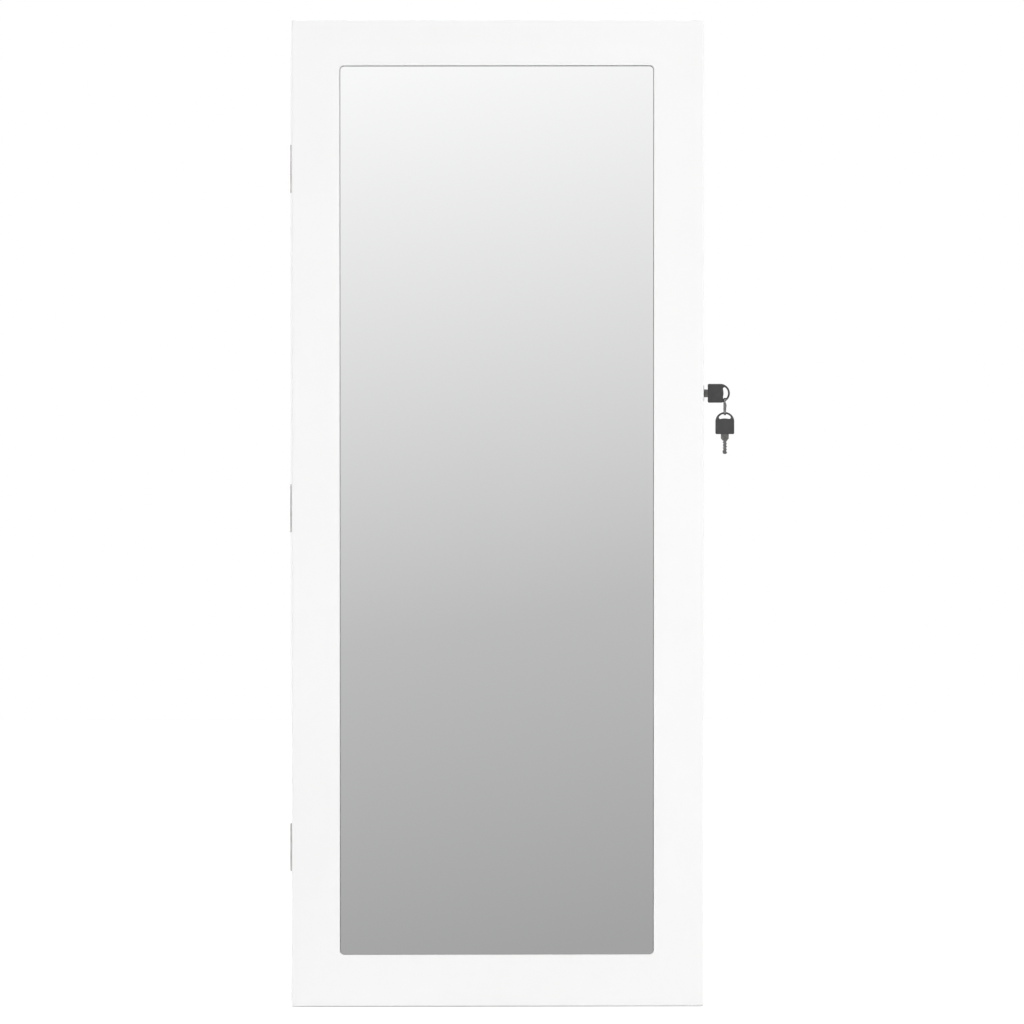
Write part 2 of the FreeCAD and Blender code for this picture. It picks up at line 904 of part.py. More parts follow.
def make_catch():
    x_middle = inner_right - catch_width / 2
    y_front = case_front + catch_set_back
    y_back = y_front + catch_depth
    half_length = catch_length / 2
    shell = slab(
        (inner_right - catch_width, inner_right),
        (y_front, y_back),
        (catch_height - half_length, catch_height + half_length),
    )
    shell = rounded(shell, catch_wall, lambda edge: edge.BoundBox.XMax < inner_right - near)
    ears_half = half_length + catch_flange_out
    ears = slab(
        (inner_right - catch_flange_thickness, inner_right),
        (y_front + catch_wall, y_back - catch_wall),
        (catch_height - ears_half, catch_height + ears_half),
    )
    shell = shell.fuse(ears)
    half_x = catch_pocket_half()
    half_z = catch_pole_length / 2 + catch_pack_clearance
    pocket_back = y_front + catch_magnet_depth + catch_pack_clearance
    pocket = slab(
        (x_middle - half_x - catch_pack_clearance, x_middle + half_x + catch_pack_clearance),
        (y_front, pocket_back),
        (catch_height - half_z, catch_height + half_z),
    )
    holes = screw_holes(catch_screw_heads(), to_right, catch_screw)
    save("catch_housing", cut_all(shell.cut(pocket).removeSplitter(), holes))

    z_span = (catch_height - catch_pole_length / 2, catch_height + catch_pole_length / 2)
    pole_back = y_front + catch_magnet_depth
    pole_front = y_front - catch_pole_proud
    inner_half = half_x - catch_pole_thickness
    magnet = slab((x_middle - inner_half, x_middle + inner_half), (y_front, pole_back), z_span)
    poles = [
        slab((x_middle - half_x, x_middle - inner_half), (pole_front, pole_back), z_span),
        slab((x_middle + inner_half, x_middle + half_x), (pole_front, pole_back), z_span),
    ]
    save("catch_magnet", magnet)
    save_group("catch_poles", poles)
    save_group("catch_screws", screws(catch_screw_heads(), to_right, catch_screw))

    middle = catch_plate_middle()
    plate = slab(
        (x_middle - catch_plate_width / 2, x_middle + catch_plate_width / 2),
        (door_back, middle.y),
        (catch_height - catch_plate_length / 2, catch_height + catch_plate_length / 2),
    )
    plate = cut_all(plate, screw_holes([middle], to_front, plate_screw))
    save("catch_plate", plate)


# Lock


def lock_rear():
    return right - lock_body_length


def cam_span():
    x = lock_rear() - plug_end_gap
    return (x - cam_thickness, x)


def strike_web_x():
    """Face of the strike's web that looks towards the cam."""
    return min(cam_span()) - strike_web_gap


def on_lock_axis(x):
    return point(x, lock_y, lock_height)


def lock_body():
    flange_face = right + lock_flange_thickness
    body = lock_bore(lock_body_radius, lock_body_flat, (lock_rear(), right))
    flange = cylinder(on_lock_axis(right), to_right, lock_flange_radius, lock_flange_thickness)
    flange = flange.makeChamfer(
        lock_flange_bevel, [edge for edge in flange.Edges if edge.BoundBox.XMin > flange_face - near]
    )
    body = body.fuse(flange)
    length = flange_face - lock_rear()
    body = body.cut(
        cylinder(on_lock_axis(lock_rear()), to_right, plug_radius + plug_clearance, length)
    )
    seat = flange_face - plug_recess - plug_head_length - plug_clearance
    body = body.cut(
        cylinder(
            on_lock_axis(seat), to_right, plug_head_radius + plug_clearance, flange_face - seat
        )
    )
    return body.removeSplitter()


def lock_nut():
    corner = lock_nut_flats / 2 / math.cos(math.pi / 6)
    x = inner_right - lock_nut_thickness
    turns = [index * math.pi / 3 for index in range(7)]
    corners = [
        point(x, lock_y + corner * math.cos(turn), lock_height + corner * math.sin(turn))
        for turn in turns
    ]
    nut = Part.Face(Part.makePolygon(corners)).extrude(to_right * lock_nut_thickness)
    radius = lock_body_radius + lock_hole_clearance
    return nut.cut(cylinder(on_lock_axis(x), to_right, radius, lock_nut_thickness))


def blade_room(x_span, full_width, full_thickness):
    return slab(
        x_span,
        (lock_y - full_thickness / 2, lock_y + full_thickness / 2),
        (lock_height - full_width / 2, lock_height + full_width / 2),
    )


def key_seat():
    """Where the collar's shoulder meets the bottom of the plug's recess."""
    face = right + lock_flange_thickness - plug_recess
    return face - collar_shoulder - collar_seat_gap


def square_on_axis(x_span, size):
    return blade_room(x_span, size, size)


def lock_plug():
    face = right + lock_flange_thickness - plug_recess
    rear = lock_rear() - plug_end_gap
    plug = cylinder(on_lock_axis(rear), to_right, plug_radius, face - rear)
    head_start = face - plug_head_length
    head = cylinder(on_lock_axis(head_start), to_right, plug_head_radius, plug_head_length)
    plug = plug.fuse(head).fuse(square_on_axis((rear - cam_thickness, rear), stub_size))
    grow = 2 * keyway_clearance
    seat = key_seat()
    plug = plug.cut(blade_room((seat, face), collar_width + grow, collar_thickness + grow))
    slot_end = seat - blade_length - keyway_end_gap
    plug = plug.cut(blade_room((slot_end, seat), blade_width + grow, blade_thickness + grow))
    screw_start = on_lock_axis(rear - cam_thickness)
    depth_in = cam_thickness + cam_screw_depth
    screw_hole = small_bar(screw_start, to_right, cam_screw_radius + screw_clearance, depth_in)
    return plug.cut(screw_hole).removeSplitter()


def lock_cam():
    """Flat cam on the plug's square stub; at rest it points to the door."""
    half = cam_width / 2
    hub = cylinder(on_lock_axis(min(cam_span())), to_right, half, cam_thickness)
    arm = slab(
        cam_span(), (lock_y - cam_reach, lock_y), (lock_height - half, lock_height + half)
    )
    arm = rounded(
        arm,
        cam_corner,
        lambda edge: edge_along(edge, to_right) and edge.BoundBox.YMax < lock_y - half,
    )
    hole = square_on_axis(cam_span(), stub_size + 2 * stub_clearance)
    return arm.fuse(hub).cut(hole).removeSplitter()


def cam_screw():
    x = min(cam_span())
    head_start = on_lock_axis(x - cam_screw_head_height)
    head = small_bar(head_start, to_right, cam_screw_head_radius, cam_screw_head_height)
    length = cam_thickness + cam_screw_depth
    shank = small_bar(on_lock_axis(x), to_right, cam_screw_radius, length)
    return head.fuse(shank).removeSplitter()


def strike():
    """Plate with an arm whose lip stands behind the cam when the cam is up."""
    web_x = strike_web_x()
    base_z = lock_height + strike_base_rise
    base = slab(
        (web_x - strike_base_width, web_x),
        (door_back, door_back + strike_thickness),
        (base_z, base_z + strike_base_height),
    )
    lip_y = lock_y + cam_width / 2 + strike_cam_gap
    tab_z = lock_height + strike_tab_rise
    tab_span = (tab_z, tab_z + strike_tab_height)
    web = slab(
        (web_x - strike_thickness, web_x), (door_back, lip_y + strike_thickness), tab_span
    )
    lip = slab(
        (web_x - strike_thickness, max(cam_span()) + strike_lip_past),
        (lip_y, lip_y + strike_thickness),
        tab_span,
    )
    piece = base.fuse(web).fuse(lip).removeSplitter()
    return cut_all(piece, screw_holes(strike_screw_heads(), to_front, plate_screw))


def make_lock():
    save("lock_body", lock_body())
    save("lock_nut", lock_nut())
    save("lock_plug", lock_plug())
    save("lock_cam", lock_cam())
    save("cam_screw", cam_screw())
    save("lock_strike", strike())
    heads = strike_screw_heads() + [catch_plate_middle()]
    save_group("door_plate_screws", screws(heads, to_front, plate_screw))


# Keys. Each is drawn with its blade along -X, the bow's round end at +X and
# the shoulder between collar and blade at the origin, in the XZ plane.


def flat_shape(wire, thickness):
    """Extrude an outline in the XZ plane evenly to both sides."""
    face = Part.Face(wire)
    face.translate(point(0, -thickness / 2, 0))
    return face.extrude(to_wall * thickness)


def key_blade():
    half = blade_width / 2
    tip = -blade_length
    blade = flat_shape(
        Part.makePolygon(
            [
                point(tip, 0, -half),
                point(0, 0, -half),
                point(0, 0, half),
                point(tip, 0, half),
                point(tip, 0, -half),
            ]
        ),
        blade_thickness,
    )
    blade = rounded(
        blade,
        blade_tip_radius,
        lambda edge: edge_along(edge, to_wall) and edge.BoundBox.XMax < tip + near,
    )
    cut_radius = blade_cut_pitch / 2
    for side in (-1, 1):
        z = side * (half + cut_radius - blade_cut_depth)
        for index in range(blade_cuts):
            x = tip + blade_tip_radius + (index + (side + 3) / 4) * blade_cut_pitch
            start = point(x, -blade_thickness / 2, z)
            blade = blade.cut(cylinder(start, to_wall, cut_radius, blade_thickness))
    wide = collar_width / 2
    collar = flat_shape(
        Part.makePolygon(
            [
                point(0, 0, -half),
                point(collar_shoulder, 0, -wide),
                point(collar_length, 0, -wide),
                point(collar_length, 0, wide),
                point(collar_shoulder, 0, wide),
                point(0, 0, half),
                point(0, 0, -half),
            ]
        ),
        collar_thickness,
    )
    tang = slab(
        (collar_length, collar_length + bow_tang_length),
        (-blade_thickness / 2, blade_thickness / 2),
        (-half, half),
    )
    return blade.fuse(collar).fuse(tang).removeSplitter()


def arc_on(centre_x, radius, turn):
    return point(centre_x + radius * math.cos(turn), 0, radius * math.sin(turn))


def bow_hole(centre_x):
    """D-shaped hole: a round outer side and a slightly bulging inner side."""
    radius = bow_width / 2 - bow_rim
    turn = math.acos(bow_hole_chord / radius)
    low = arc_on(centre_x, radius, -turn)
    high = arc_on(centre_x, radius, turn)
    outer = Part.Arc(low, arc_on(centre_x, radius, 0), high).toShape()
    bulge = point(centre_x + bow_hole_chord + bow_hole_bulge, 0, 0)
    inner = Part.Arc(high, bulge, low).toShape()
    hole = flat_shape(Part.Wire([outer, inner]), bow_thickness)
    return rounded(hole, bow_hole_corner, lambda edge: edge_along(edge, to_wall))


def key_bow():
    start = collar_length
    radius = bow_width / 2
    centre_x = start + bow_length - radius
    low = point(centre_x, 0, -radius)
    high = point(centre_x, 0, radius)
    near_low = point(start, 0, -radius)
    near_high = point(start, 0, radius)
    outline = Part.Wire(
        [
            Part.makeLine(near_low, low),
            Part.Arc(low, arc_on(centre_x, radius, 0), high).toShape(),
            Part.makeLine(high, near_high),
            Part.makeLine(near_high, near_low),
        ]
    )
    bow = flat_shape(outline, bow_thickness)
    bow = rounded(
        bow,
        bow_corner,
        lambda edge: edge_along(edge, to_wall) and edge.BoundBox.XMax < start + near,
    )
    bow = bow.cut(bow_hole(centre_x))

    def on_face(edge):
        return edge.BoundBox.YLength < exact

    bow = bevelled(bow, bow_edge_bevel, on_face)
    x_span = (start + bow_panel_margin, centre_x + bow_hole_chord - bow_panel_margin)
    half = radius - bow_panel_margin
    for side in (-1, 1):
        face_y = side * bow_thickness / 2
        panel = slab(x_span, (face_y - side * bow_panel_depth, face_y), (-half, half))
        bow = bow.cut(rounded(panel, bow_corner, lambda edge: edge_along(edge, to_wall)))
    grow = bow_tang_clearance
    socket = slab(
        (start, start + bow_tang_length + grow),
        (-blade_thickness / 2 - grow, blade_thickness / 2 + grow),
        (-blade_width / 2 - grow, blade_width / 2 + grow),
    )
    return bow.cut(socket)


def bow_centre_x():
    """Middle of the bow's round end, from the shoulder."""
    return collar_length + bow_length - bow_width / 2


def ring_x():
    return key_seat() + bow_centre_x() + ring_from_bow_centre


def ring_top():
    """Height of the wire's centre where it hangs in the upper key's hole."""
    hole_radius = bow_width / 2 - bow_rim
    reach = ring_from_bow_centre + 2 * ring_wire_radius
    hole_half = math.sqrt(hole_radius ** 2 - reach ** 2)
    return lock_height - hole_half + ring_hang_gap + ring_wire_radius


def ring_mean_radius():
    return ring_outer_radius - ring_wire_radius


def ring_bottom():
    return ring_top() - 2 * ring_mean_radius()


def place_upper_key(shape):
    placed = shape.copy()
    placed.translate(on_lock_axis(key_seat()))
    return placed


def place_lower_key(shape):
    """Turn a key so that its blade points down and hang it on the ring."""
    placed = shape.copy()
    placed.rotate(point(0, 0, 0), to_wall, -90)
    apex = collar_length + bow_length
    hole_top = ring_bottom() + ring_wire_radius + ring_hang_gap
    placed.translate(point(ring_x(), lock_y, hole_top + bow_rim - apex))
    return placed


def split_ring():
    """Two turns of wire side by side, drawn as one turned section."""
    wire = ring_wire_radius
    seam_height = wire * ring_seam_share
    level = ring_mean_radius()
    upper = [(-2 * wire, 0), (-wire, wire), (0, seam_height), (wire, wire)]
    outline = upper + [(-x, -z) for x, z in upper]
    section = [point(x, 0, level + z) for x, z in outline]
    ring = Part.Face(Part.makePolygon(section + section[:1])).revolve(
        point(0, 0, 0), to_right, 360
    )
    ring.translate(point(ring_x(), lock_y, ring_top() - level))
    return ring


def make_keys():
    blade = key_blade()
    bow = key_bow()
    save("upper_key_blade", place_upper_key(blade))
    save("upper_key_bow", place_upper_key(bow))
    save("lower_key_blade", place_lower_key(blade))
    save("lower_key_bow", place_lower_key(bow))
    save("key_ring", split_ring())


make_case()
make_pegs()
make_shelves()
make_ring_tray()
make_earring_rack()
make_hinges()
make_door()
make_catch()
make_lock()
make_keys()
print("ring x", round(ring_x(), 3), "top", round(ring_top(), 3), "bottom", round(ring_bottom(), 3))
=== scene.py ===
import json
import math
import random
import bmesh
import bpy
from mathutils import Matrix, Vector


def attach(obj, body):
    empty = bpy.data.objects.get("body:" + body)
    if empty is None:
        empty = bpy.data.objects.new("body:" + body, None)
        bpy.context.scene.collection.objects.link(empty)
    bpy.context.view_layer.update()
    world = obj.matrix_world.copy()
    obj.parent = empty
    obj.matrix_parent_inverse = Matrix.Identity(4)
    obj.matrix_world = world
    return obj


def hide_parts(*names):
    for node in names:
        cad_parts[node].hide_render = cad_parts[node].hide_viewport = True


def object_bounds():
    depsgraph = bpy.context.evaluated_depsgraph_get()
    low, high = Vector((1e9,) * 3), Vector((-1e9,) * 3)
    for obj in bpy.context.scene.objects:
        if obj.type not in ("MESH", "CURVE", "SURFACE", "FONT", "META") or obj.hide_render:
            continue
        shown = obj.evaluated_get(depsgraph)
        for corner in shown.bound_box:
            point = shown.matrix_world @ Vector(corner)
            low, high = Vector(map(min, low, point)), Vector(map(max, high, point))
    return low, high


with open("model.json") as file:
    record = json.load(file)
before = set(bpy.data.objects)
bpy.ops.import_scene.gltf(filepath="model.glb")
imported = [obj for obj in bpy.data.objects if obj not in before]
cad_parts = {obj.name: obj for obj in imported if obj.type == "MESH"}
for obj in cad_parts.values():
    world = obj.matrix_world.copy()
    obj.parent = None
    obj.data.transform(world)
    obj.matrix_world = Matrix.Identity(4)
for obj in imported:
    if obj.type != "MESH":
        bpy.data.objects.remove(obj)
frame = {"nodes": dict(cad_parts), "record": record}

# Wall-hung jewellery cabinet with a mirrored door. Metres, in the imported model's frame.
nodes = frame["nodes"]
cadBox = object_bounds()
print("frame loaded:", len(nodes), "nodes")


def srgb(level):
    value = level / 255
    return value / 12.92 if value <= 0.04045 else ((value + 0.055) / 1.055) ** 2.4


# Camera, floor and light

view = {
    "aim": (0.0129, -0.100, 0.0013),
    "distance": 20.0,
    "fromLeft": 1.3,
    "fromAbove": 3.1,
    "widthSeen": 0.9326,
    "sensor": 36.0,
}
studio = {
    "floorDrop": 0.0006,
    "floorReach": 4.0,
    "floorColor": (0.86, 0.86, 0.86),
    # painted glow on the floor for camera and glossy rays, weaker near the object: painted shade round it
    "floorGlow": (0.35, 0.80),
    "floorGlowReach": (0.3, 1.6),
    "worldFill": 0.41,
    "cardGap": 0.5,
    "cardReach": 4.0,
    "cardHeight": 2.4,
    "cardSlope": -0.18,
    "cardLow": -0.45,
    "cardHigh": 0.40,
    "cardMiddle": -0.13,
    "cardLevels": (165, 190, 251),
}
lamps = {
    "front": {"at": (0.1, -2.7, -0.15), "toward": (0.1, 0, -0.15), "size": (2.4, 0.5), "power": 19.3},
    "right": {"at": (3.8, -1.8, 0.7), "toward": (0, 0, 0), "size": (2.0, 2.0), "power": 36.0},
    "left": {"at": (-3.8, 0.9, 0.7), "toward": (0, 0, 0), "size": (2.0, 2.0), "power": 44.0},
    "behind": {"at": (0.4, 4.2, 1.3), "toward": (0, 0, 0), "size": (3.0, 2.0), "power": 59.0},
    "above": {"at": (0.3, -0.6, 3.2), "toward": (0, 0, 0), "size": (2.4, 2.4), "power": 46.0},
}


def makeCamera():
    side, rise = math.radians(view["fromLeft"]), math.radians(view["fromAbove"])
    back = Vector((-math.sin(side) * math.cos(rise), -math.cos(side) * math.cos(rise), math.sin(rise)))
    camera = bpy.data.cameras.new("photoCamera")
    camera.sensor_width = view["sensor"]
    camera.lens = view["sensor"] * view["distance"] / view["widthSeen"]
    camera.clip_start = 1.0
    camera.clip_end = 60.0
    holder = bpy.data.objects.new("photoCamera", camera)
    holder.location = Vector(view["aim"]) + back * view["distance"]
    holder.rotation_euler = (-back).to_track_quat("-Z", "Y").to_euler()
    bpy.context.scene.collection.objects.link(holder)
    bpy.context.scene.camera = holder


def makeLamps():
    for name, lamp in lamps.items():
        light = bpy.data.lights.new(name, "AREA")
        light.shape = "RECTANGLE"
        light.size, light.size_y = lamp["size"]
        light.energy = lamp["power"]
        holder = bpy.data.objects.new(name, light)
        holder.location = lamp["at"]
        facing = Vector(lamp["toward"]) - Vector(lamp["at"])
        holder.rotation_euler = facing.to_track_quat("-Z", "Y").to_euler()
        bpy.context.scene.collection.objects.link(holder)


def spreadOut(tree, source, low, high, toLow, toHigh):
    span = tree.nodes.new("ShaderNodeMapRange")
    for socket, value in zip(("From Min", "From Max", "To Min", "To Max"), (low, high, toLow, toHigh)):
        span.inputs[socket].default_value = value
    tree.links.new(source, span.inputs["Value"])
    return span.outputs["Result"]


def seenRays(tree):
    # 1 for camera, glossy and transmission rays, 0 for the rays that carry light
    path = tree.nodes.new("ShaderNodeLightPath")
    rays = [path.outputs[name] for name in ("Is Camera Ray", "Is Glossy Ray", "Is Transmission Ray")]
    total = rays[0]
    for ray in rays[1:]:
        larger = tree.nodes.new("ShaderNodeMath")
        larger.operation = "MAXIMUM"
        tree.links.new(total, larger.inputs[0])
        tree.links.new(ray, larger.inputs[1])
        total = larger.outputs[0]
    return total


def makeWorld():
    world = bpy.data.worlds.new("studioWorld")
    world.use_nodes = True
    tree = world.node_tree
    background = tree.nodes["Background"]
    background.inputs["Color"].default_value = (1, 1, 1, 1)
    # full white to the eye and in reflections, less as a source of light
    strength = spreadOut(tree, seenRays(tree), 0, 1, studio["worldFill"], 1)
    tree.links.new(strength, background.inputs["Strength"])
    bpy.context.scene.world = world


def flatSheet(name, corners, material):
    mesh = bpy.data.meshes.new(name)
    mesh.from_pydata(corners, [], [tuple(range(len(corners)))])
    mesh.materials.append(material)
    sheet = bpy.data.objects.new(name, mesh)
    bpy.context.scene.collection.objects.link(sheet)
    return sheet


def makeFloor():
    reach = studio["floorReach"]
    z = cadBox[0].z - studio["floorDrop"]
    material = bpy.data.materials.new("studioFloor")
    material.use_nodes = True
    tree = material.node_tree
    shader = tree.nodes["Principled BSDF"]
    shader.inputs["Base Color"].default_value = (*studio["floorColor"], 1)
    shader.inputs["Roughness"].default_value = 0.9
    shader.inputs["Specular IOR Level"].default_value = 0.0
    shader.inputs["Emission Color"].default_value = (1, 1, 1, 1)
    # the floor's glow is painted light, weaker near the object, so that its soft shadow stays; the weaker
    # glow also paints the floor darker all round the object, as painted shade
    place = tree.nodes.new("ShaderNodeTexCoord")
    far = tree.nodes.new("ShaderNodeVectorMath")
    far.operation = "LENGTH"
    tree.links.new(place.outputs["Object"], far.inputs[0])
    strength = spreadOut(tree, far.outputs["Value"], *studio["floorGlowReach"], *studio["floorGlow"])
    glow = tree.nodes.new("ShaderNodeMath")
    glow.operation = "MULTIPLY"
    tree.links.new(strength, glow.inputs[1])
    tree.links.new(seenRays(tree), glow.inputs[0])
    tree.links.new(glow.outputs[0], shader.inputs["Emission Strength"])
    corners = [(-reach, -reach, z), (reach, -reach, z), (reach, reach, z), (-reach, reach, z)]
    flatSheet("studioFloor", corners, material)


def makeCard():
    # a large graded card that only the mirror and other glossy surfaces see
    reach = studio["cardReach"]
    y = cadBox[0].y - studio["cardGap"]
    low = cadBox[0].z - studio["floorDrop"]
    high = low + studio["cardHeight"]
    material = bpy.data.materials.new("gradedCard")
    material.use_nodes = True
    tree = material.node_tree
    tree.nodes.remove(tree.nodes["Principled BSDF"])
    place = tree.nodes.new("ShaderNodeTexCoord")
    along = tree.nodes.new("ShaderNodeVectorMath")
    along.operation = "DOT_PRODUCT"
    along.inputs[1].default_value = (studio["cardSlope"], 0, 1)
    tree.links.new(place.outputs["Object"], along.inputs[0])
    share = spreadOut(tree, along.outputs["Value"], studio["cardLow"], studio["cardHigh"], 0, 1)
    ramp = tree.nodes.new("ShaderNodeValToRGB")
    levels = [srgb(level) for level in studio["cardLevels"]]
    middle = (studio["cardMiddle"] - studio["cardLow"]) / (studio["cardHigh"] - studio["cardLow"])
    ramp.color_ramp.elements.new(middle)
    for stop, level in zip(ramp.color_ramp.elements, levels):
        stop.color = (level, level, level, 1)
    tree.links.new(share, ramp.inputs["Fac"])
    glow = tree.nodes.new("ShaderNodeEmission")
    tree.links.new(ramp.outputs["Color"], glow.inputs["Color"])
    tree.links.new(glow.outputs["Emission"], tree.nodes["Material Output"].inputs["Surface"])
    corners = [(-reach, y, low), (-reach, y, high), (reach, y, high), (reach, y, low)]
    card = flatSheet("gradedCard", corners, material)
    card.visible_camera = False
    card.visible_diffuse = False
    card.visible_transmission = False
    card.visible_shadow = False


makeCamera()
makeLamps()
makeWorld()
makeFloor()
makeCard()
bpy.context.scene.view_settings.view_transform = "Standard"
print("stage made")


# Materials


def newMaterial(name, color, roughness, metallic=0.0, **sockets):
    material = bpy.data.materials.new(name)
    material.use_nodes = True
    tree = material.node_tree
    shader = tree.nodes["Principled BSDF"]
    shader.inputs["Base Color"].default_value = (*color, 1)
    shader.inputs["Roughness"].default_value = roughness
    shader.inputs["Metallic"].default_value = metallic
    for socket, value in sockets.items():
        shader.inputs[socket.replace("_", " ")].default_value = value
    return material, tree, shader


def noiseOf(tree, scale, detail=2.0, stretch=(1, 1, 1), rough=0.5):
    place = tree.nodes.new("ShaderNodeTexCoord")
    mapping = tree.nodes.new("ShaderNodeMapping")
    mapping.inputs["Scale"].default_value = stretch
    noise = tree.nodes.new("ShaderNodeTexNoise")
    noise.inputs["Scale"].default_value = scale
    noise.inputs["Detail"].default_value = detail
    noise.inputs["Roughness"].default_value = rough
    tree.links.new(place.outputs["Object"], mapping.inputs["Vector"])
    tree.links.new(mapping.outputs["Vector"], noise.inputs["Vector"])
    return noise.outputs["Fac"]


def blendColors(tree, source, first, second, low=0.35, high=0.65):
    ramp = tree.nodes.new("ShaderNodeValToRGB")
    ends = ramp.color_ramp.elements
    ends[0].position, ends[1].position = low, high
    ends[0].color, ends[1].color = (*first, 1), (*second, 1)
    tree.links.new(source, ramp.inputs["Fac"])
    return ramp.outputs["Color"]


def tintBy(tree, shader, source, first, second, low=0.35, high=0.65):
    tree.links.new(blendColors(tree, source, first, second, low, high), shader.inputs["Base Color"])


def roughBy(tree, shader, source, smoothest, roughest, low=0.3, high=0.7):
    tree.links.new(spreadOut(tree, source, low, high, smoothest, roughest), shader.inputs["Roughness"])


def addBump(tree, shader, source, strength, depth):
    bump = tree.nodes.new("ShaderNodeBump")
    bump.inputs["Strength"].default_value = strength
    bump.inputs["Distance"].default_value = depth
    tree.links.new(source, bump.inputs["Height"])
    before = shader.inputs["Normal"].links
    if before:
        tree.links.new(before[0].from_socket, bump.inputs["Normal"])
    tree.links.new(bump.outputs["Normal"], shader.inputs["Normal"])


def whiteLacquer():
    coat = {"Coat_Weight": 0.08, "Coat_Roughness": 0.12}
    material, tree, shader = newMaterial("whiteLacquer", (0.93, 0.93, 0.928), 0.3, **coat)
    shader.inputs["Specular IOR Level"].default_value = 0.3
    tintBy(tree, shader, noiseOf(tree, 7.0, 3.0), (0.925, 0.926, 0.922), (0.937, 0.937, 0.936))
    roughBy(tree, shader, noiseOf(tree, 140.0, 3.0), 0.30, 0.37)
    addBump(tree, shader, noiseOf(tree, 620.0, 1.5), 0.10, 0.00012)
    return material


def backBoard():
    material, tree, shader = newMaterial("backBoard", (0.88, 0.875, 0.86), 0.62)
    fibre = noiseOf(tree, 260.0, 5.0, (1, 1, 0.35), 0.7)
    tintBy(tree, shader, fibre, (0.83, 0.825, 0.80), (0.90, 0.895, 0.885), 0.3, 0.6)
    roughBy(tree, shader, fibre, 0.5, 0.72)
    addBump(tree, shader, fibre, 0.25, 0.00015)
    return material


def velvet(name, color, light):
    material, tree, shader = newMaterial(name, color, 0.95, Sheen_Weight=0.9, Sheen_Roughness=0.35)
    shader.inputs["Specular IOR Level"].default_value = 0.15
    shader.inputs["Sheen Tint"].default_value = (*light, 1)
    nap = noiseOf(tree, 26.0, 4.0, (1, 1, 0.6), 0.55)
    pile = noiseOf(tree, 1900.0, 2.0, (1, 1, 0.6), 0.7)
    dark, pale = tuple(0.9 * c for c in color), tuple(1.15 * c for c in color)
    shade = blendColors(tree, nap, dark, pale, 0.3, 0.7)
    fleck = tree.nodes.new("ShaderNodeMix")
    fleck.data_type = "RGBA"
    fleck.blend_type = "MULTIPLY"
    fleck.inputs["Factor"].default_value = 0.6
    tree.links.new(shade, fleck.inputs[6])
    tree.links.new(blendColors(tree, pile, (0.55, 0.55, 0.55), (1, 1, 1), 0.3, 0.7), fleck.inputs[7])
    tree.links.new(fleck.outputs[2], shader.inputs["Base Color"])
    addBump(tree, shader, pile, 0.6, 0.0004)
    addBump(tree, shader, nap, 0.25, 0.0008)
    return material


def beech():
    material, tree, shader = newMaterial("beech", (0.62, 0.42, 0.24), 0.55)
    grain = noiseOf(tree, 160.0, 6.0, (0.06, 1, 1), 0.6)
    fleck = noiseOf(tree, 900.0, 2.0, (0.12, 1, 1), 0.6)
    tintBy(tree, shader, grain, (0.66, 0.46, 0.28), (0.52, 0.33, 0.18), 0.35, 0.7)
    roughBy(tree, shader, fleck, 0.45, 0.62)
    addBump(tree, shader, fleck, 0.3, 0.0001)
    return material


def plainMetal(name, color, roughness, brushed=(1, 1, 1), scratch=0.12, tint=None):
    material, tree, shader = newMaterial(name, color, roughness, 1.0)
    fine = noiseOf(tree, 2400.0, 3.0, brushed, 0.6)
    blot = noiseOf(tree, 210.0, 3.0)
    dark = tint or tuple(0.86 * c for c in color)
    tintBy(tree, shader, blot, color, dark, 0.4, 0.72)
    roughBy(tree, shader, fine, 0.8 * roughness, 1.35 * roughness)
    addBump(tree, shader, fine, scratch, 0.00004)
    return material


def plastic(name, color, roughness, grain=900.0, depth=0.00008, light=1.25):
    material, tree, shader = newMaterial(name, color, roughness)
    fine = noiseOf(tree, grain, 2.0)
    lighter = tuple(min(1.0, light * c) for c in color)
    tintBy(tree, shader, noiseOf(tree, 160.0, 3.0), color, lighter, 0.35, 0.7)
    roughBy(tree, shader, fine, 0.85 * roughness, 1.1 * roughness)
    addBump(tree, shader, fine, 0.35, depth)
    return material


def silveredGlass():
    material, tree, shader = newMaterial("silveredGlass", (0.965, 0.97, 0.968), 0.0, 1.0)
    roughBy(tree, shader, noiseOf(tree, 5.0, 3.0), 0.0, 0.03, 0.45, 0.8)
    # the ground edges of the glass are green-grey and matt
    side = tree.nodes.new("ShaderNodeTexCoord")
    facing = tree.nodes.new("ShaderNodeSeparateXYZ")
    tree.links.new(side.outputs["Normal"], facing.inputs[0])
    front = tree.nodes.new("ShaderNodeMath")
    front.operation = "LESS_THAN"
    front.inputs[1].default_value = -0.9
    tree.links.new(facing.outputs["Y"], front.inputs[0])
    edge = tree.nodes.new("ShaderNodeBsdfPrincipled")
    edge.inputs["Base Color"].default_value = (0.55, 0.66, 0.61, 1)
    edge.inputs["Roughness"].default_value = 0.35
    both = tree.nodes.new("ShaderNodeMixShader")
    tree.links.new(front.outputs[0], both.inputs["Fac"])
    tree.links.new(edge.outputs["BSDF"], both.inputs[1])
    tree.links.new(shader.outputs["BSDF"], both.inputs[2])
    tree.links.new(both.outputs["Shader"], tree.nodes["Material Output"].inputs["Surface"])
    return material


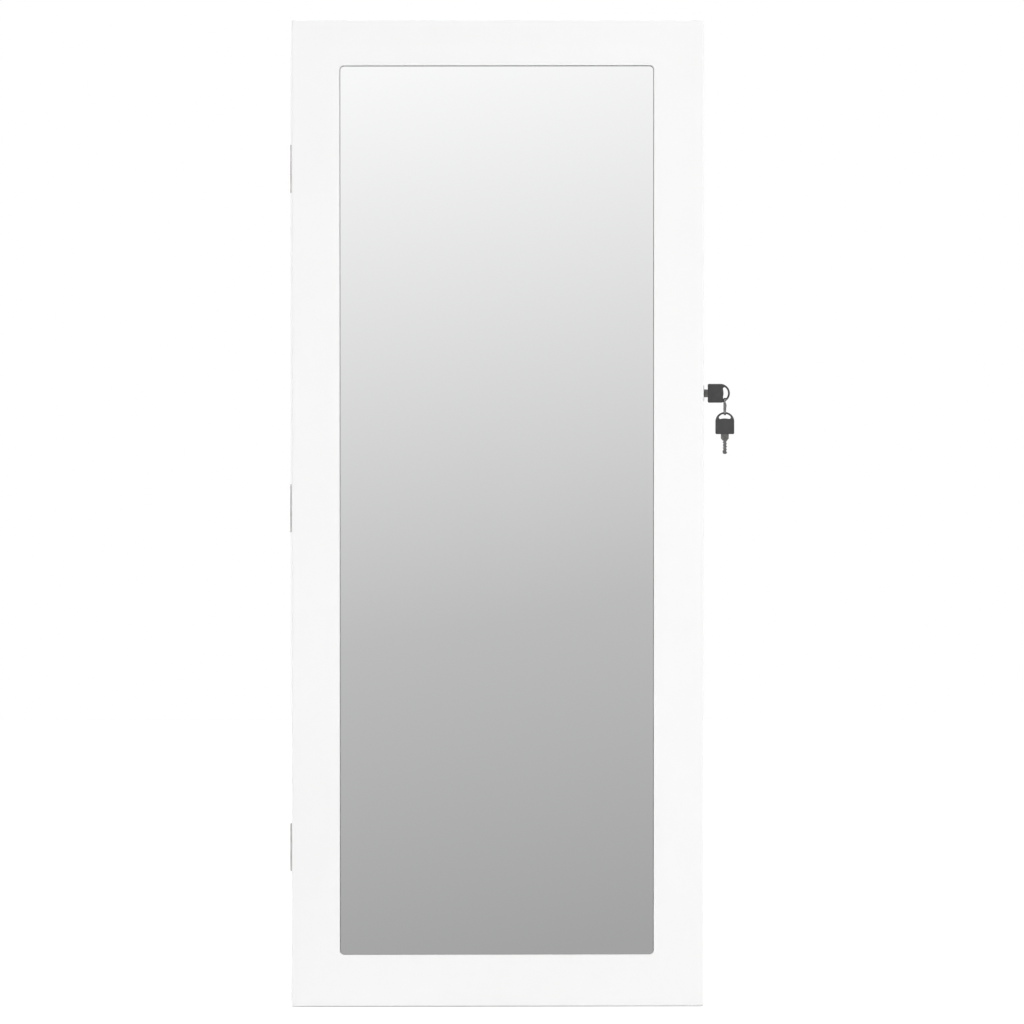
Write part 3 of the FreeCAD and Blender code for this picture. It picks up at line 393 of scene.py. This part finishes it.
finishes = {
    "white_lacquer": whiteLacquer(),
    "back_board": backBoard(),
    "velvet": velvet("velvet", (0.045, 0.045, 0.05), (0.55, 0.55, 0.6)),
    "velvet_roll": velvet("rollVelvet", (0.038, 0.038, 0.043), (0.5, 0.5, 0.55)),
    "beech": beech(),
    "staple_steel": plainMetal("stapleSteel", (0.62, 0.62, 0.60), 0.38),
    "peg_metal": plainMetal("polishedNickel", (0.72, 0.71, 0.69), 0.14),
    "nickel": plainMetal("platedNickel", (0.66, 0.65, 0.63), 0.2),
    "hinge_steel": plainMetal("satinNickel", (0.62, 0.61, 0.60), 0.34, (1, 1, 0.05)),
    "screw_steel": plainMetal("zincPlate", (0.66, 0.66, 0.64), 0.3, tint=(0.62, 0.60, 0.52)),
    "catch_plastic": plastic("catchPlastic", (0.84, 0.84, 0.83), 0.42),
    "ferrite": plastic("ferrite", (0.035, 0.035, 0.037), 0.7, 1400.0, 0.00015),
    "plate_steel": plainMetal("stampedSteel", (0.6, 0.6, 0.59), 0.33, (1, 1, 0.08)),
    "silvered_glass": silveredGlass(),
    "foam_tape": plastic("foamTape", (0.80, 0.80, 0.78), 0.85, 500.0, 0.0003),
    "bumper_rubber": plastic("clearRubber", (0.72, 0.72, 0.72), 0.35),
    "key_steel": plainMetal("keySteel", (0.23, 0.23, 0.225), 0.34, (0.06, 1, 1), 0.2, (0.13, 0.13, 0.12)),
    "ring_steel": plainMetal("ringSteel", (0.27, 0.27, 0.27), 0.25),
    "key_plastic": plastic("keyPlastic", (0.037, 0.037, 0.037), 0.5, 1600.0, 0.0001),
}
darkNickel = plainMetal("darkNickel", (0.06, 0.06, 0.062), 0.24)

slots = {part["node"]: part["material_slot"] for part in frame["record"]["subparts"]}
for node, slot in slots.items():
    given = nodes[node].data.materials
    if not given:
        given.append(None)
    for index in range(len(given)):
        given[index] = finishes[slot]
nodes["lock_body"].data.materials[0] = darkNickel
print("finishes given:", len(finishes))


# Geometry Nodes: one tree for turned pieces and one for cross-head screws


def newTree(name, sockets):
    tree = bpy.data.node_groups.new(name, "GeometryNodeTree")
    tree.interface.new_socket("Geometry", in_out="INPUT", socket_type="NodeSocketGeometry")
    for label, kind in sockets:
        tree.interface.new_socket(label, in_out="INPUT", socket_type="NodeSocket" + kind)
    tree.interface.new_socket("Geometry", in_out="OUTPUT", socket_type="NodeSocketGeometry")
    return tree, tree.nodes.new("NodeGroupInput"), tree.nodes.new("NodeGroupOutput")


def joinNodes(tree, pairs):
    for source, target in pairs:
        tree.links.new(source, target)


def finishTree(tree, given, result, shape):
    # puts the shape on every point of the input mesh, turned along Way
    align = tree.nodes.new("FunctionNodeAlignRotationToVector")
    align.axis = "Z"
    onPoints = tree.nodes.new("GeometryNodeInstanceOnPoints")
    toPoints = tree.nodes.new("GeometryNodeMeshToPoints")
    realize = tree.nodes.new("GeometryNodeRealizeInstances")
    finish = tree.nodes.new("GeometryNodeSetMaterial")
    joinNodes(tree, (
        (given.outputs["Way"], align.inputs["Vector"]),
        (given.outputs["Geometry"], toPoints.inputs["Mesh"]),
        (toPoints.outputs["Points"], onPoints.inputs["Points"]),
        (shape, onPoints.inputs["Instance"]),
        (align.outputs["Rotation"], onPoints.inputs["Rotation"]),
        (onPoints.outputs["Instances"], realize.inputs["Geometry"]),
        (realize.outputs["Geometry"], finish.inputs["Geometry"]),
        (given.outputs["Finish"], finish.inputs["Material"]),
        (finish.outputs["Geometry"], result.inputs["Geometry"]),
    ))


def turnedTree(name, profile):
    # a bar along Z whose radius follows the profile, given as shares of Length and Radius
    tree, given, result = newTree(
        name, (("Length", "Float"), ("Radius", "Float"), ("Rings", "Int"), ("Sides", "Int"),
               ("Way", "Vector"), ("Finish", "Material")))
    end = tree.nodes.new("ShaderNodeCombineXYZ")
    line = tree.nodes.new("GeometryNodeCurvePrimitiveLine")
    even = tree.nodes.new("GeometryNodeResampleCurve")
    along = tree.nodes.new("GeometryNodeSplineParameter")
    shape = tree.nodes.new("ShaderNodeFloatCurve")
    points = shape.mapping.curves[0].points
    for position, value in profile[1:-1]:
        points.new(position, value)
    points[0].location = profile[0]
    points[len(points) - 1].location = profile[-1]
    shape.mapping.update()
    scaled = tree.nodes.new("ShaderNodeMath")
    scaled.operation = "MULTIPLY"
    circle = tree.nodes.new("GeometryNodeCurvePrimitiveCircle")
    circle.inputs["Radius"].default_value = 1.0
    skin = tree.nodes.new("GeometryNodeCurveToMesh")
    skin.inputs["Fill Caps"].default_value = True
    smooth = tree.nodes.new("GeometryNodeSetShadeSmooth")
    joinNodes(tree, (
        (given.outputs["Length"], end.inputs["Z"]),
        (end.outputs["Vector"], line.inputs["End"]),
        (line.outputs["Curve"], even.inputs["Curve"]),
        (given.outputs["Rings"], even.inputs["Count"]),
        (along.outputs["Factor"], shape.inputs["Value"]),
        (shape.outputs["Value"], scaled.inputs[0]),
        (given.outputs["Radius"], scaled.inputs[1]),
        (given.outputs["Sides"], circle.inputs["Resolution"]),
        (even.outputs["Curve"], skin.inputs["Curve"]),
        (scaled.outputs[0], skin.inputs["Scale"]),
        (circle.outputs["Curve"], skin.inputs["Profile Curve"]),
        (skin.outputs["Mesh"], smooth.inputs["Geometry"]),
    ))
    finishTree(tree, given, result, smooth.outputs["Geometry"])
    return tree


def screwTree():
    # countersunk screw along Z with a cross recess in its flat head
    tree, given, result = newTree(
        "crossHeadScrew", (("Head", "Float"), ("Shank", "Float"), ("Rise", "Float"), ("Length", "Float"),
                           ("Way", "Vector"), ("Finish", "Material")))
    cone = tree.nodes.new("GeometryNodeMeshCone")
    cone.inputs["Vertices"].default_value = screws["headSides"]
    shank = tree.nodes.new("GeometryNodeMeshCylinder")
    shank.inputs["Vertices"].default_value = screws["shankSides"]
    shankPlace = tree.nodes.new("GeometryNodeTransform")
    middle = tree.nodes.new("ShaderNodeCombineXYZ")
    half = tree.nodes.new("ShaderNodeMath")
    half.operation = "MULTIPLY"
    half.inputs[1].default_value = 0.5
    both = tree.nodes.new("GeometryNodeMeshBoolean")
    both.operation = "UNION"
    carved = tree.nodes.new("GeometryNodeMeshBoolean")
    carved.operation = "DIFFERENCE"
    for longSide in (0, 1):
        size = tree.nodes.new("ShaderNodeCombineXYZ")
        widths = ("recessLong", "recessShort") if longSide else ("recessShort", "recessLong")
        for axis, key in zip("XY", widths):
            share = tree.nodes.new("ShaderNodeMath")
            share.operation = "MULTIPLY"
            share.inputs[1].default_value = screws[key]
            tree.links.new(given.outputs["Head"], share.inputs[0])
            tree.links.new(share.outputs[0], size.inputs[axis])
        deep = tree.nodes.new("ShaderNodeMath")
        deep.operation = "MULTIPLY"
        deep.inputs[1].default_value = screws["recessDeep"]
        tree.links.new(given.outputs["Rise"], deep.inputs[0])
        tree.links.new(deep.outputs[0], size.inputs["Z"])
        bar = tree.nodes.new("GeometryNodeMeshCube")
        tree.links.new(size.outputs["Vector"], bar.inputs["Size"])
        tree.links.new(bar.outputs["Mesh"], carved.inputs["Mesh 2"])
    joinNodes(tree, (
        (given.outputs["Head"], cone.inputs["Radius Bottom"]),
        (given.outputs["Shank"], cone.inputs["Radius Top"]),
        (given.outputs["Rise"], cone.inputs["Depth"]),
        (given.outputs["Shank"], shank.inputs["Radius"]),
        (given.outputs["Length"], shank.inputs["Depth"]),
        (given.outputs["Length"], half.inputs[0]),
        (half.outputs[0], middle.inputs["Z"]),
        (shank.outputs["Mesh"], shankPlace.inputs["Geometry"]),
        (middle.outputs["Vector"], shankPlace.inputs["Translation"]),
        (cone.outputs["Mesh"], both.inputs["Mesh 2"]),
        (shankPlace.outputs["Geometry"], both.inputs["Mesh 2"]),
        (both.outputs["Mesh"], carved.inputs["Mesh 1"]),
    ))
    finishTree(tree, given, result, carved.outputs["Mesh"])
    return tree


def addObject(name, mesh):
    piece = bpy.data.objects.new(name, mesh)
    bpy.context.scene.collection.objects.link(piece)
    return piece


def plainMesh(holder):
    # the object's result as a mesh of its own; the object itself goes
    graph = bpy.context.evaluated_depsgraph_get()
    mesh = bpy.data.meshes.new_from_object(holder.evaluated_get(graph))
    bpy.data.objects.remove(holder)
    return mesh


def growPieces(name, places, tree, values, body, replaced):
    # runs a tree on a set of points and keeps the result as a plain mesh
    seeds = bpy.data.meshes.new(name + "Places")
    seeds.from_pydata([tuple(place) for place in places], [], [])
    holder = addObject(name + "Places", seeds)
    modifier = holder.modifiers.new("grow", "NODES")
    modifier.node_group = tree
    for item in tree.interface.items_tree:
        if item.in_out == "INPUT" and item.name in values:
            modifier[item.identifier] = values[item.name]
    holder.update_tag()
    mesh = plainMesh(holder)
    mesh.name = name
    piece = addObject(name, mesh)
    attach(piece, body)
    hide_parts(replaced)


def evenSteps(count, pitch):
    return [(index - (count - 1) / 2) * pitch for index in range(count)]


# Pegs for necklaces, in the case and on the door

pegs = {
    "radius": 0.0024,
    "rings": 40,
    "sides": 20,
    "tilt": 15.0,
    "profile": ((0, 0.54), (0.62, 0.54), (0.80, 0.50), (0.885, 0.62), (0.91, 0.95), (0.95, 1.0),
                (0.985, 0.80), (1, 0.35)),
    "case": {"count": 10, "pitch": 0.034, "y": -0.020, "z": 0.416, "depth": 0.006, "length": 0.023,
             "forward": -1},
    "door": {"count": 7, "pitch": 0.036, "y": -0.072, "z": 0.386, "depth": 0.005, "length": 0.022,
             "forward": 1},
}


def makePegs():
    tree = turnedTree("turnedPeg", pegs["profile"])
    tilt = math.radians(pegs["tilt"])
    for side, body, node in (("case", "cabinet", "necklace_pegs"), ("door", "door", "door_pegs")):
        row = pegs[side]
        way = Vector((0, row["forward"] * math.cos(tilt), math.sin(tilt)))
        steps = evenSteps(row["count"], row["pitch"])
        starts = [Vector((x, row["y"], row["z"])) - way * row["depth"] for x in steps]
        values = {"Length": row["length"], "Radius": pegs["radius"], "Rings": pegs["rings"],
                  "Sides": pegs["sides"], "Way": tuple(way), "Finish": finishes["peg_metal"]}
        growPieces(side + "Pegs", starts, tree, values, body, node)


# Screws with cross recesses

screws = {
    "headSides": 24,
    "shankSides": 16,
    "recessLong": 1.15,
    "recessShort": 0.30,
    "recessDeep": 1.25,
    "leaf": {"Head": 0.0023, "Shank": 0.00125, "Rise": 0.00095, "Length": 0.013},
    "plate": {"Head": 0.0023, "Shank": 0.00125, "Rise": 0.001, "Length": 0.009},
    "catch": {"Head": 0.0023, "Shank": 0.00125, "Rise": 0.0012, "Length": 0.010},
    "hingeHeights": (0.3135, 0.004, -0.3055),
    "leafPitch": 0.028,
    "leafX": -0.1815,
    "leafY": -0.081,
    "leafGap": 0.00005,
    "cam": {"Length": 0.0076, "Radius": 0.0032, "Rings": 90, "Sides": 28},
    "camPlace": (0.1638, -0.062, 0.1075),
    "camProfile": ((0, 0.5), (0.02, 0.75), (0.06, 0.93), (0.10, 1.0), (0.205, 1.0), (0.215, 0.47),
                   (1, 0.47)),
    "platePlaces": ((0.158, -0.0805, 0.1145), (0.158, -0.0805, 0.1245), (0.1685, -0.081, -0.2)),
    "catchPlaces": ((0.173, -0.0709, -0.2235), (0.173, -0.0709, -0.1765)),
}


def makeScrews():
    tree = screwTree()
    steel = finishes["screw_steel"]
    heights = [z + step for z in screws["hingeHeights"] for step in evenSteps(2, screws["leafPitch"])]
    leafRows = (("caseLeafScrews", "cabinet", "case_leaf_screws", 1),
                ("doorLeafScrews", "door", "door_leaf_screws", -1))
    for name, body, node, side in leafRows:
        y = screws["leafY"] + side * screws["leafGap"]
        places = [(screws["leafX"], y, z) for z in heights]
        values = dict(screws["leaf"], Way=(0, side, 0), Finish=steel)
        growPieces(name, places, tree, values, body, node)
    plate = dict(screws["plate"], Way=(0, -1, 0), Finish=steel)
    places = screws["platePlaces"]
    growPieces("doorPlateScrews", places, tree, plate, "door", "door_plate_screws")
    catch = dict(screws["catch"], Way=(1, 0, 0), Finish=steel)
    places = screws["catchPlaces"]
    growPieces("catchScrews", places, tree, catch, "cabinet", "catch_screws")
    cam = dict(screws["cam"], Way=(1, 0, 0), Finish=finishes["nickel"])
    panHead = turnedTree("panHeadScrew", screws["camProfile"])
    growPieces("camScrew", [screws["camPlace"]], panHead, cam, "lock_plug", "cam_screw")


# Clear bumpers on the door's back

bumpers = {
    "places": ((0.1815, -0.082, 0.435), (0.1815, -0.082, -0.435)),
    "radius": 0.004,
    "thickness": 0.0016,
    "rings": 14,
    "sides": 32,
    "profile": ((0, 1.0), (0.25, 0.99), (0.55, 0.90), (0.80, 0.70), (0.94, 0.42), (1, 0.12)),
}


def makeBumpers():
    tree = turnedTree("roundBumper", bumpers["profile"])
    values = {"Length": bumpers["thickness"], "Radius": bumpers["radius"], "Rings": bumpers["rings"],
              "Sides": bumpers["sides"], "Way": (0, 1, 0), "Finish": finishes["bumper_rubber"]}
    growPieces("doorBumpers", bumpers["places"], tree, values, "door", "door_bumpers")


makePegs()
makeScrews()
makeBumpers()
print("pegs, screws and bumpers made")


def skinRows(shape, rows):
    # a closed skin over rows of points, with a face at each end
    for first, second in zip(rows, rows[1:]):
        for side in range(len(first)):
            after = (side + 1) % len(first)
            shape.faces.new((first[side], first[after], second[after], second[side]))
    shape.faces.new(list(reversed(rows[0])))
    shape.faces.new(rows[-1])


# Split ring that joins the keys: two turns of wire that cross near the front

ring = {
    "middle": (0.208, -0.062, 0.09557),
    "radius": 0.00784,
    "wire": 0.00054,
    "square": 2.2,
    "sides": 12,
    "steps": 240,
    "crossing": 31.0,
    "crossingHalf": 15.0,
    "endAt": 12.0,
    "spacing": 1.02,
    "parting": 0.00034,
    "partingAt": 24.0,
    "partingWidth": 11.0,
    "partingFar": 0.5,
    "tip": 3,
    "tipSize": 0.55,
}


def ringPoint(turned, across, out):
    # turned is in degrees from the crossing, downwards over the front
    angle = math.radians(ring["crossing"] - turned)
    far = ring["radius"] + out
    x, y, z = ring["middle"]
    return Vector((x + across, y - far * math.cos(angle), z + far * math.sin(angle)))


def strandOffset(turned):
    # -1 on the first turn and 1 on the second, eased through the crossing, with a gap beside it
    side = max(-1.0, min(1.0, (turned - 360) / ring["crossingHalf"]))
    side = side * (1.5 - 0.5 * side * side)
    past = turned % 360
    gap = math.exp(-((past - ring["partingAt"]) / ring["partingWidth"]) ** 2)
    far = math.exp(-((past - 360 + ring["partingAt"]) / ring["partingWidth"]) ** 2)
    return side * (ring["wire"] * ring["spacing"] + ring["parting"] * (gap + ring["partingFar"] * far))


def makeKeyRing():
    mesh = bpy.data.meshes.new("keyRing")
    shape = bmesh.new()
    start, end = ring["endAt"], 720 - ring["endAt"]
    rows = []
    for step in range(ring["steps"] + 1):
        turned = start + (end - start) * step / ring["steps"]
        fromEnd = min(step, ring["steps"] - step)
        size = ring["wire"] * min(1.0, ring["tipSize"] + (1 - ring["tipSize"]) * fromEnd / ring["tip"])
        row = []
        for side in range(ring["sides"]):
            angle = 2 * math.pi * side / ring["sides"]
            c, d = math.cos(angle), math.sin(angle)
            bulge = (abs(c) ** ring["square"] + abs(d) ** ring["square"]) ** (-1 / ring["square"])
            across = strandOffset(turned) + size * bulge * c
            row.append(shape.verts.new(ringPoint(turned, across, size * bulge * d)))
        rows.append(row)
    skinRows(shape, rows)
    bmesh.ops.recalc_face_normals(shape, faces=shape.faces)
    for face in shape.faces:
        face.smooth = len(face.verts) == 4
    shape.to_mesh(mesh)
    shape.free()
    mesh.materials.append(finishes["ring_steel"])
    piece = addObject("splitRing", mesh)
    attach(piece, "key_ring")
    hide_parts("key_ring")


# Moulded bows of the keys, drawn with the blade along -X and the shoulder at the origin

bow = {
    "start": 0.0059,
    "length": 0.0202,
    "width": 0.0172,
    "thickness": 0.0025,
    "edge": 0.00045,
    "corner": 0.0012,
    "rim": 0.00172,
    "cadRim": 0.0015,
    "holeFrom": 0.0023,
    "holeBulge": 0.0005,
    "holeCorner": 0.0014,
    "panelMargin": 0.0015,
    "panelDepth": 0.00028,
    "panelCorner": 0.0013,
    "panelEdge": 0.0002,
    "upperAt": (0.1865, -0.062, 0.1075),
    "ringX": 0.208,
    "lowerHoleTop": 0.08886,
    "arcSteps": 32,
    "cornerSteps": 6,
    "holeSteps": 20,
    "holeSideSteps": 8,
    "panelSteps": 5,
    "bevelSteps": 3,
}


def arcPoints(middle, radius, fromTurn, toTurn, count):
    turns = [fromTurn + (toTurn - fromTurn) * index / count for index in range(count + 1)]
    return [(middle[0] + radius * math.cos(turn), middle[1] + radius * math.sin(turn)) for turn in turns]


def bowOutline(middleX):
    radius, corner, steps = bow["width"] / 2, bow["corner"], bow["cornerSteps"]
    nearX = bow["start"] + corner
    points = arcPoints((middleX, 0), radius, -math.pi / 2, math.pi / 2, bow["arcSteps"])
    points += arcPoints((nearX, radius - corner), corner, math.pi / 2, math.pi, steps)
    points += arcPoints((nearX, corner - radius), corner, math.pi, 1.5 * math.pi, steps)
    return points


def holeOutline(middleX):
    # a D whose straight side swells a little towards the ring
    radius, corner, steps = bow["width"] / 2 - bow["rim"], bow["holeCorner"], bow["holeSideSteps"]
    nearX = middleX + bow["holeFrom"] + corner
    height = math.sqrt((radius - corner) ** 2 - (nearX - middleX) ** 2)
    turn = math.atan2(height, nearX - middleX)
    points = arcPoints((middleX, 0), radius, -turn, turn, bow["holeSteps"])
    points += arcPoints((nearX, height), corner, turn, math.pi, steps)
    for index in range(1, steps):
        share = index / steps
        bulge = bow["holeBulge"] * math.sin(math.pi * share)
        points.append((middleX + bow["holeFrom"] + bulge, height * (1 - 2 * share)))
    points += arcPoints((nearX, -height), corner, math.pi, 2 * math.pi - turn, steps)
    return points


def curvePlate(name, outlines, thickness, edge):
    curve = bpy.data.curves.new(name, "CURVE")
    curve.dimensions = "2D"
    curve.fill_mode = "BOTH"
    curve.extrude = thickness / 2 - edge
    curve.bevel_depth = edge
    curve.bevel_resolution = bow["bevelSteps"]
    curve.offset = -edge
    for outline in outlines:
        spline = curve.splines.new("POLY")
        spline.points.add(len(outline) - 1)
        for place, (x, y) in zip(spline.points, outline):
            place.co = (x, y, 0, 1)
        spline.use_cyclic_u = True
    mesh = plainMesh(addObject(name, curve))
    shape = bmesh.new()
    shape.from_mesh(mesh)
    bmesh.ops.remove_doubles(shape, verts=shape.verts, dist=1e-7)
    bmesh.ops.recalc_face_normals(shape, faces=shape.faces)
    shape.to_mesh(mesh)
    shape.free()
    return mesh


def cutAway(mesh, cutters):
    holder = addObject("cutHolder", mesh)
    tools = [addObject("cutTool", cutter) for cutter in cutters]
    for tool in tools:
        cut = holder.modifiers.new("cut", "BOOLEAN")
        cut.operation = "DIFFERENCE"
        cut.object = tool
        cut.solver = "EXACT"
    result = plainMesh(holder)
    for tool in tools:
        bpy.data.objects.remove(tool)
    return result


def panelOutline(middleX):
    margin, corner = bow["panelMargin"], bow["panelCorner"]
    low, high = bow["start"] + margin, middleX + bow["holeFrom"] - margin
    half = bow["width"] / 2 - margin
    outline = []
    for x, y, turn in ((high, half, 0), (low, half, 0.5), (low, -half, 1), (high, -half, 1.5)):
        inX = x - corner if x == high else x + corner
        inY = y - corner if y > 0 else y + corner
        outline += arcPoints((inX, inY), corner, turn * math.pi, (turn + 0.5) * math.pi, bow["panelSteps"])
    return outline


def makeBows():
    middleX = bow["start"] + bow["length"] - bow["width"] / 2
    body = curvePlate("bowBody", [bowOutline(middleX), holeOutline(middleX)], bow["thickness"], bow["edge"])
    cutters = []
    for side in (-1, 1):
        # each cutter is four depths thick and goes one depth into the bow
        panel = curvePlate("bowPanel", [panelOutline(middleX)], 4 * bow["panelDepth"], bow["panelEdge"])
        away = side * (bow["thickness"] / 2 + bow["panelDepth"])
        for point in panel.vertices:
            point.co.z += away
        cutters.append(panel)
    plate = cutAway(body, cutters)
    x, y, z = bow["upperAt"]
    lowerZ = bow["lowerHoleTop"] + bow["cadRim"] - (bow["start"] + bow["length"])
    for name, body in (("upperBow", "upper_key"), ("lowerBow", "lower_key")):
        mesh = plate.copy()
        for point in mesh.vertices:
            along, across, thick = point.co
            if name == "upperBow":
                point.co = (x + along, y - thick, z + across)
            else:
                point.co = (bow["ringX"] - across, y - thick, lowerZ + along)
        mesh.materials.clear()
        mesh.materials.append(finishes["key_plastic"])
        for face in mesh.polygons:
            face.use_smooth = False
        piece = addObject(name, mesh)
        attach(piece, body)
        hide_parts(body + "_bow")


makeKeyRing()
makeBows()
print("ring and bows made")


# Soft rolls of the ring tray: foam under velvet, swollen by a short cloth run

rolls = {
    "count": 8,
    "pitch": 0.0195,
    "middleZ": -0.047,
    "axisY": -0.01825,
    "backY": -0.0113,
    "low": -0.167,
    "high": -0.007,
    "radius": 0.0088,
    "endRound": 0.0035,
    "endTaper": 0.45,
    "endGap": 0.0006,
    "backGap": 0.0002,
    "sides": 28,
    "lengths": 34,
    "voxel": 0.0026,
    "pressure": 4.0,
    "frames": 20,
    "cap": 0.0007,
    "wander": 0.00022,
    "waves": 3,
    "seed": 7,
    "endSeamAt": 0.0042,
    "endSeamDeep": 0.00045,
    "endSeamWide": 0.0011,
    "seamOutside": 0.004,
    "seamBackGap": 0.0005,
}


def rollMesh():
    draw = random.Random(rolls["seed"])
    shape = bmesh.new()
    start, length = rolls["low"] + rolls["endGap"], rolls["high"] - rolls["low"] - 2 * rolls["endGap"]
    for z in evenSteps(rolls["count"], rolls["pitch"]):
        waves = []
        for _ in range(rolls["waves"]):
            size = draw.uniform(0.5, 1.0) * rolls["wander"]
            waves.append((size, draw.uniform(90, 260), draw.uniform(0, 6.3)))
        rows = []
        for step in range(rolls["lengths"] + 1):
            x = start + length * (0.5 - 0.5 * math.cos(math.pi * step / rolls["lengths"]))
            fromEnd = min(x - rolls["low"], rolls["high"] - x)
            inset = max(0.0, 1 - fromEnd / rolls["endRound"])
            radius = rolls["radius"] - rolls["endTaper"] * rolls["endRound"] * inset ** 2
            radius += sum(size * math.sin(rate * x + phase) for size, rate, phase in waves)
            row = []
            for side in range(rolls["sides"]):
                angle = 2 * math.pi * side / rolls["sides"]
                y = min(rolls["axisY"] + radius * math.cos(angle), rolls["backY"] - rolls["backGap"])
                row.append(shape.verts.new((x, y, rolls["middleZ"] + z + radius * math.sin(angle))))
            rows.append(row)
        skinRows(shape, rows)
    bmesh.ops.recalc_face_normals(shape, faces=shape.faces)
    mesh = bpy.data.meshes.new("ringRolls")
    shape.to_mesh(mesh)
    shape.free()
    return mesh


def swollen(mesh):
    # a cloth run with pressure, and a cap on how far each point may go
    holder = addObject("rollSwell", mesh)
    cloth = holder.modifiers.new("swell", "CLOTH")
    cloth.settings.use_pressure = True
    cloth.settings.uniform_pressure_force = rolls["pressure"]
    cloth.settings.effector_weights.gravity = 0
    cloth.point_cache.frame_start = 1
    cloth.point_cache.frame_end = rolls["frames"]
    scene = bpy.context.scene
    for frameNumber in range(1, rolls["frames"] + 1):
        scene.frame_set(frameNumber)
    done = plainMesh(holder)
    scene.frame_set(1)
    for before, after in zip(mesh.vertices, done.vertices):
        move = after.co - before.co
        if move.length > rolls["cap"]:
            after.co = before.co + move * (rolls["cap"] / move.length)
        after.co.y = min(after.co.y, rolls["backY"])
    return done


def pressSeams(mesh):
    # a shallow seam round each roll near both ends, where the cloth is gathered
    last = rolls["count"] - 1
    for point in mesh.vertices:
        fromEnd = min(point.co.x - rolls["low"], rolls["high"] - point.co.x)
        dip = math.exp(-((fromEnd - rolls["endSeamAt"]) / rolls["endSeamWide"]) ** 2)
        index = round((point.co.z - rolls["middleZ"]) / rolls["pitch"] + last / 2)
        axisZ = rolls["middleZ"] + rolls["pitch"] * (min(last, max(0, index)) - last / 2)
        out = Vector((0, point.co.y - rolls["axisY"], point.co.z - axisZ))
        if out.length > rolls["seamOutside"] and point.co.y < rolls["backY"] - rolls["seamBackGap"]:
            point.co -= out.normalized() * dip * rolls["endSeamDeep"]


def makeRolls():
    holder = addObject("rollRemesh", rollMesh())
    remesh = holder.modifiers.new("even", "REMESH")
    remesh.mode = "VOXEL"
    remesh.voxel_size = rolls["voxel"]
    mesh = plainMesh(holder)
    mesh = swollen(mesh)
    pressSeams(mesh)
    for face in mesh.polygons:
        face.use_smooth = True
    piece = addObject("ringRolls", mesh)
    finer = piece.modifiers.new("finer", "SUBSURF")
    finer.levels = finer.render_levels = 1
    mesh = plainMesh(piece)
    piece = addObject("ringRolls", mesh)
    mesh.materials.clear()
    mesh.materials.append(finishes["velvet_roll"])
    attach(piece, "cabinet")
    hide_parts("ring_cushions")
    print("ring rolls:", len(mesh.polygons), "faces")


# Boards whose edges are eased: sharp corners of the solids get a small round

easedBoards = {
    "back_lining": ("caseLining", "cabinet", 0.0006),
    "door_lining": ("doorLining", "door", 0.0008),
    "ring_tray_floor": ("ringTrayFloor", "cabinet", 0.0004),
    "ring_tray_frame": ("ringTrayFrame", "cabinet", 0.0006),
    "earring_rack_frame": ("earringRackFrame", "cabinet", 0.0006),
    "upper_shelf": ("upperShelf", "cabinet", 0.0006),
    "middle_shelf": ("middleShelf", "cabinet", 0.0006),
    "lower_shelf": ("lowerShelf", "cabinet", 0.0006),
    "gutter_front": ("gutterFront", "door", 0.0006),
    "catch_plate": ("catchPlate", "door", 0.0002),
}


easing = {"steps": 3, "sharpAngle": 50.0, "merge": 1e-6, "flat": 0.01}


def easeBoards():
    for node, (name, body, size) in easedBoards.items():
        mesh = nodes[node].data.copy()
        shape = bmesh.new()
        shape.from_mesh(mesh)
        bmesh.ops.remove_doubles(shape, verts=shape.verts, dist=easing["merge"])
        bmesh.ops.dissolve_limit(shape, angle_limit=easing["flat"], verts=shape.verts, edges=shape.edges)
        shape.to_mesh(mesh)
        shape.free()
        holder = addObject(name + "Sharp", mesh)
        ease = holder.modifiers.new("ease", "BEVEL")
        ease.width = size
        ease.segments = easing["steps"]
        ease.limit_method = "ANGLE"
        ease.angle_limit = math.radians(easing["sharpAngle"])
        ease.harden_normals = True
        piece = addObject(name, plainMesh(holder))
        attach(piece, body)
        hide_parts(node)


makeRolls()
easeBoards()
print("rolls and boards made")
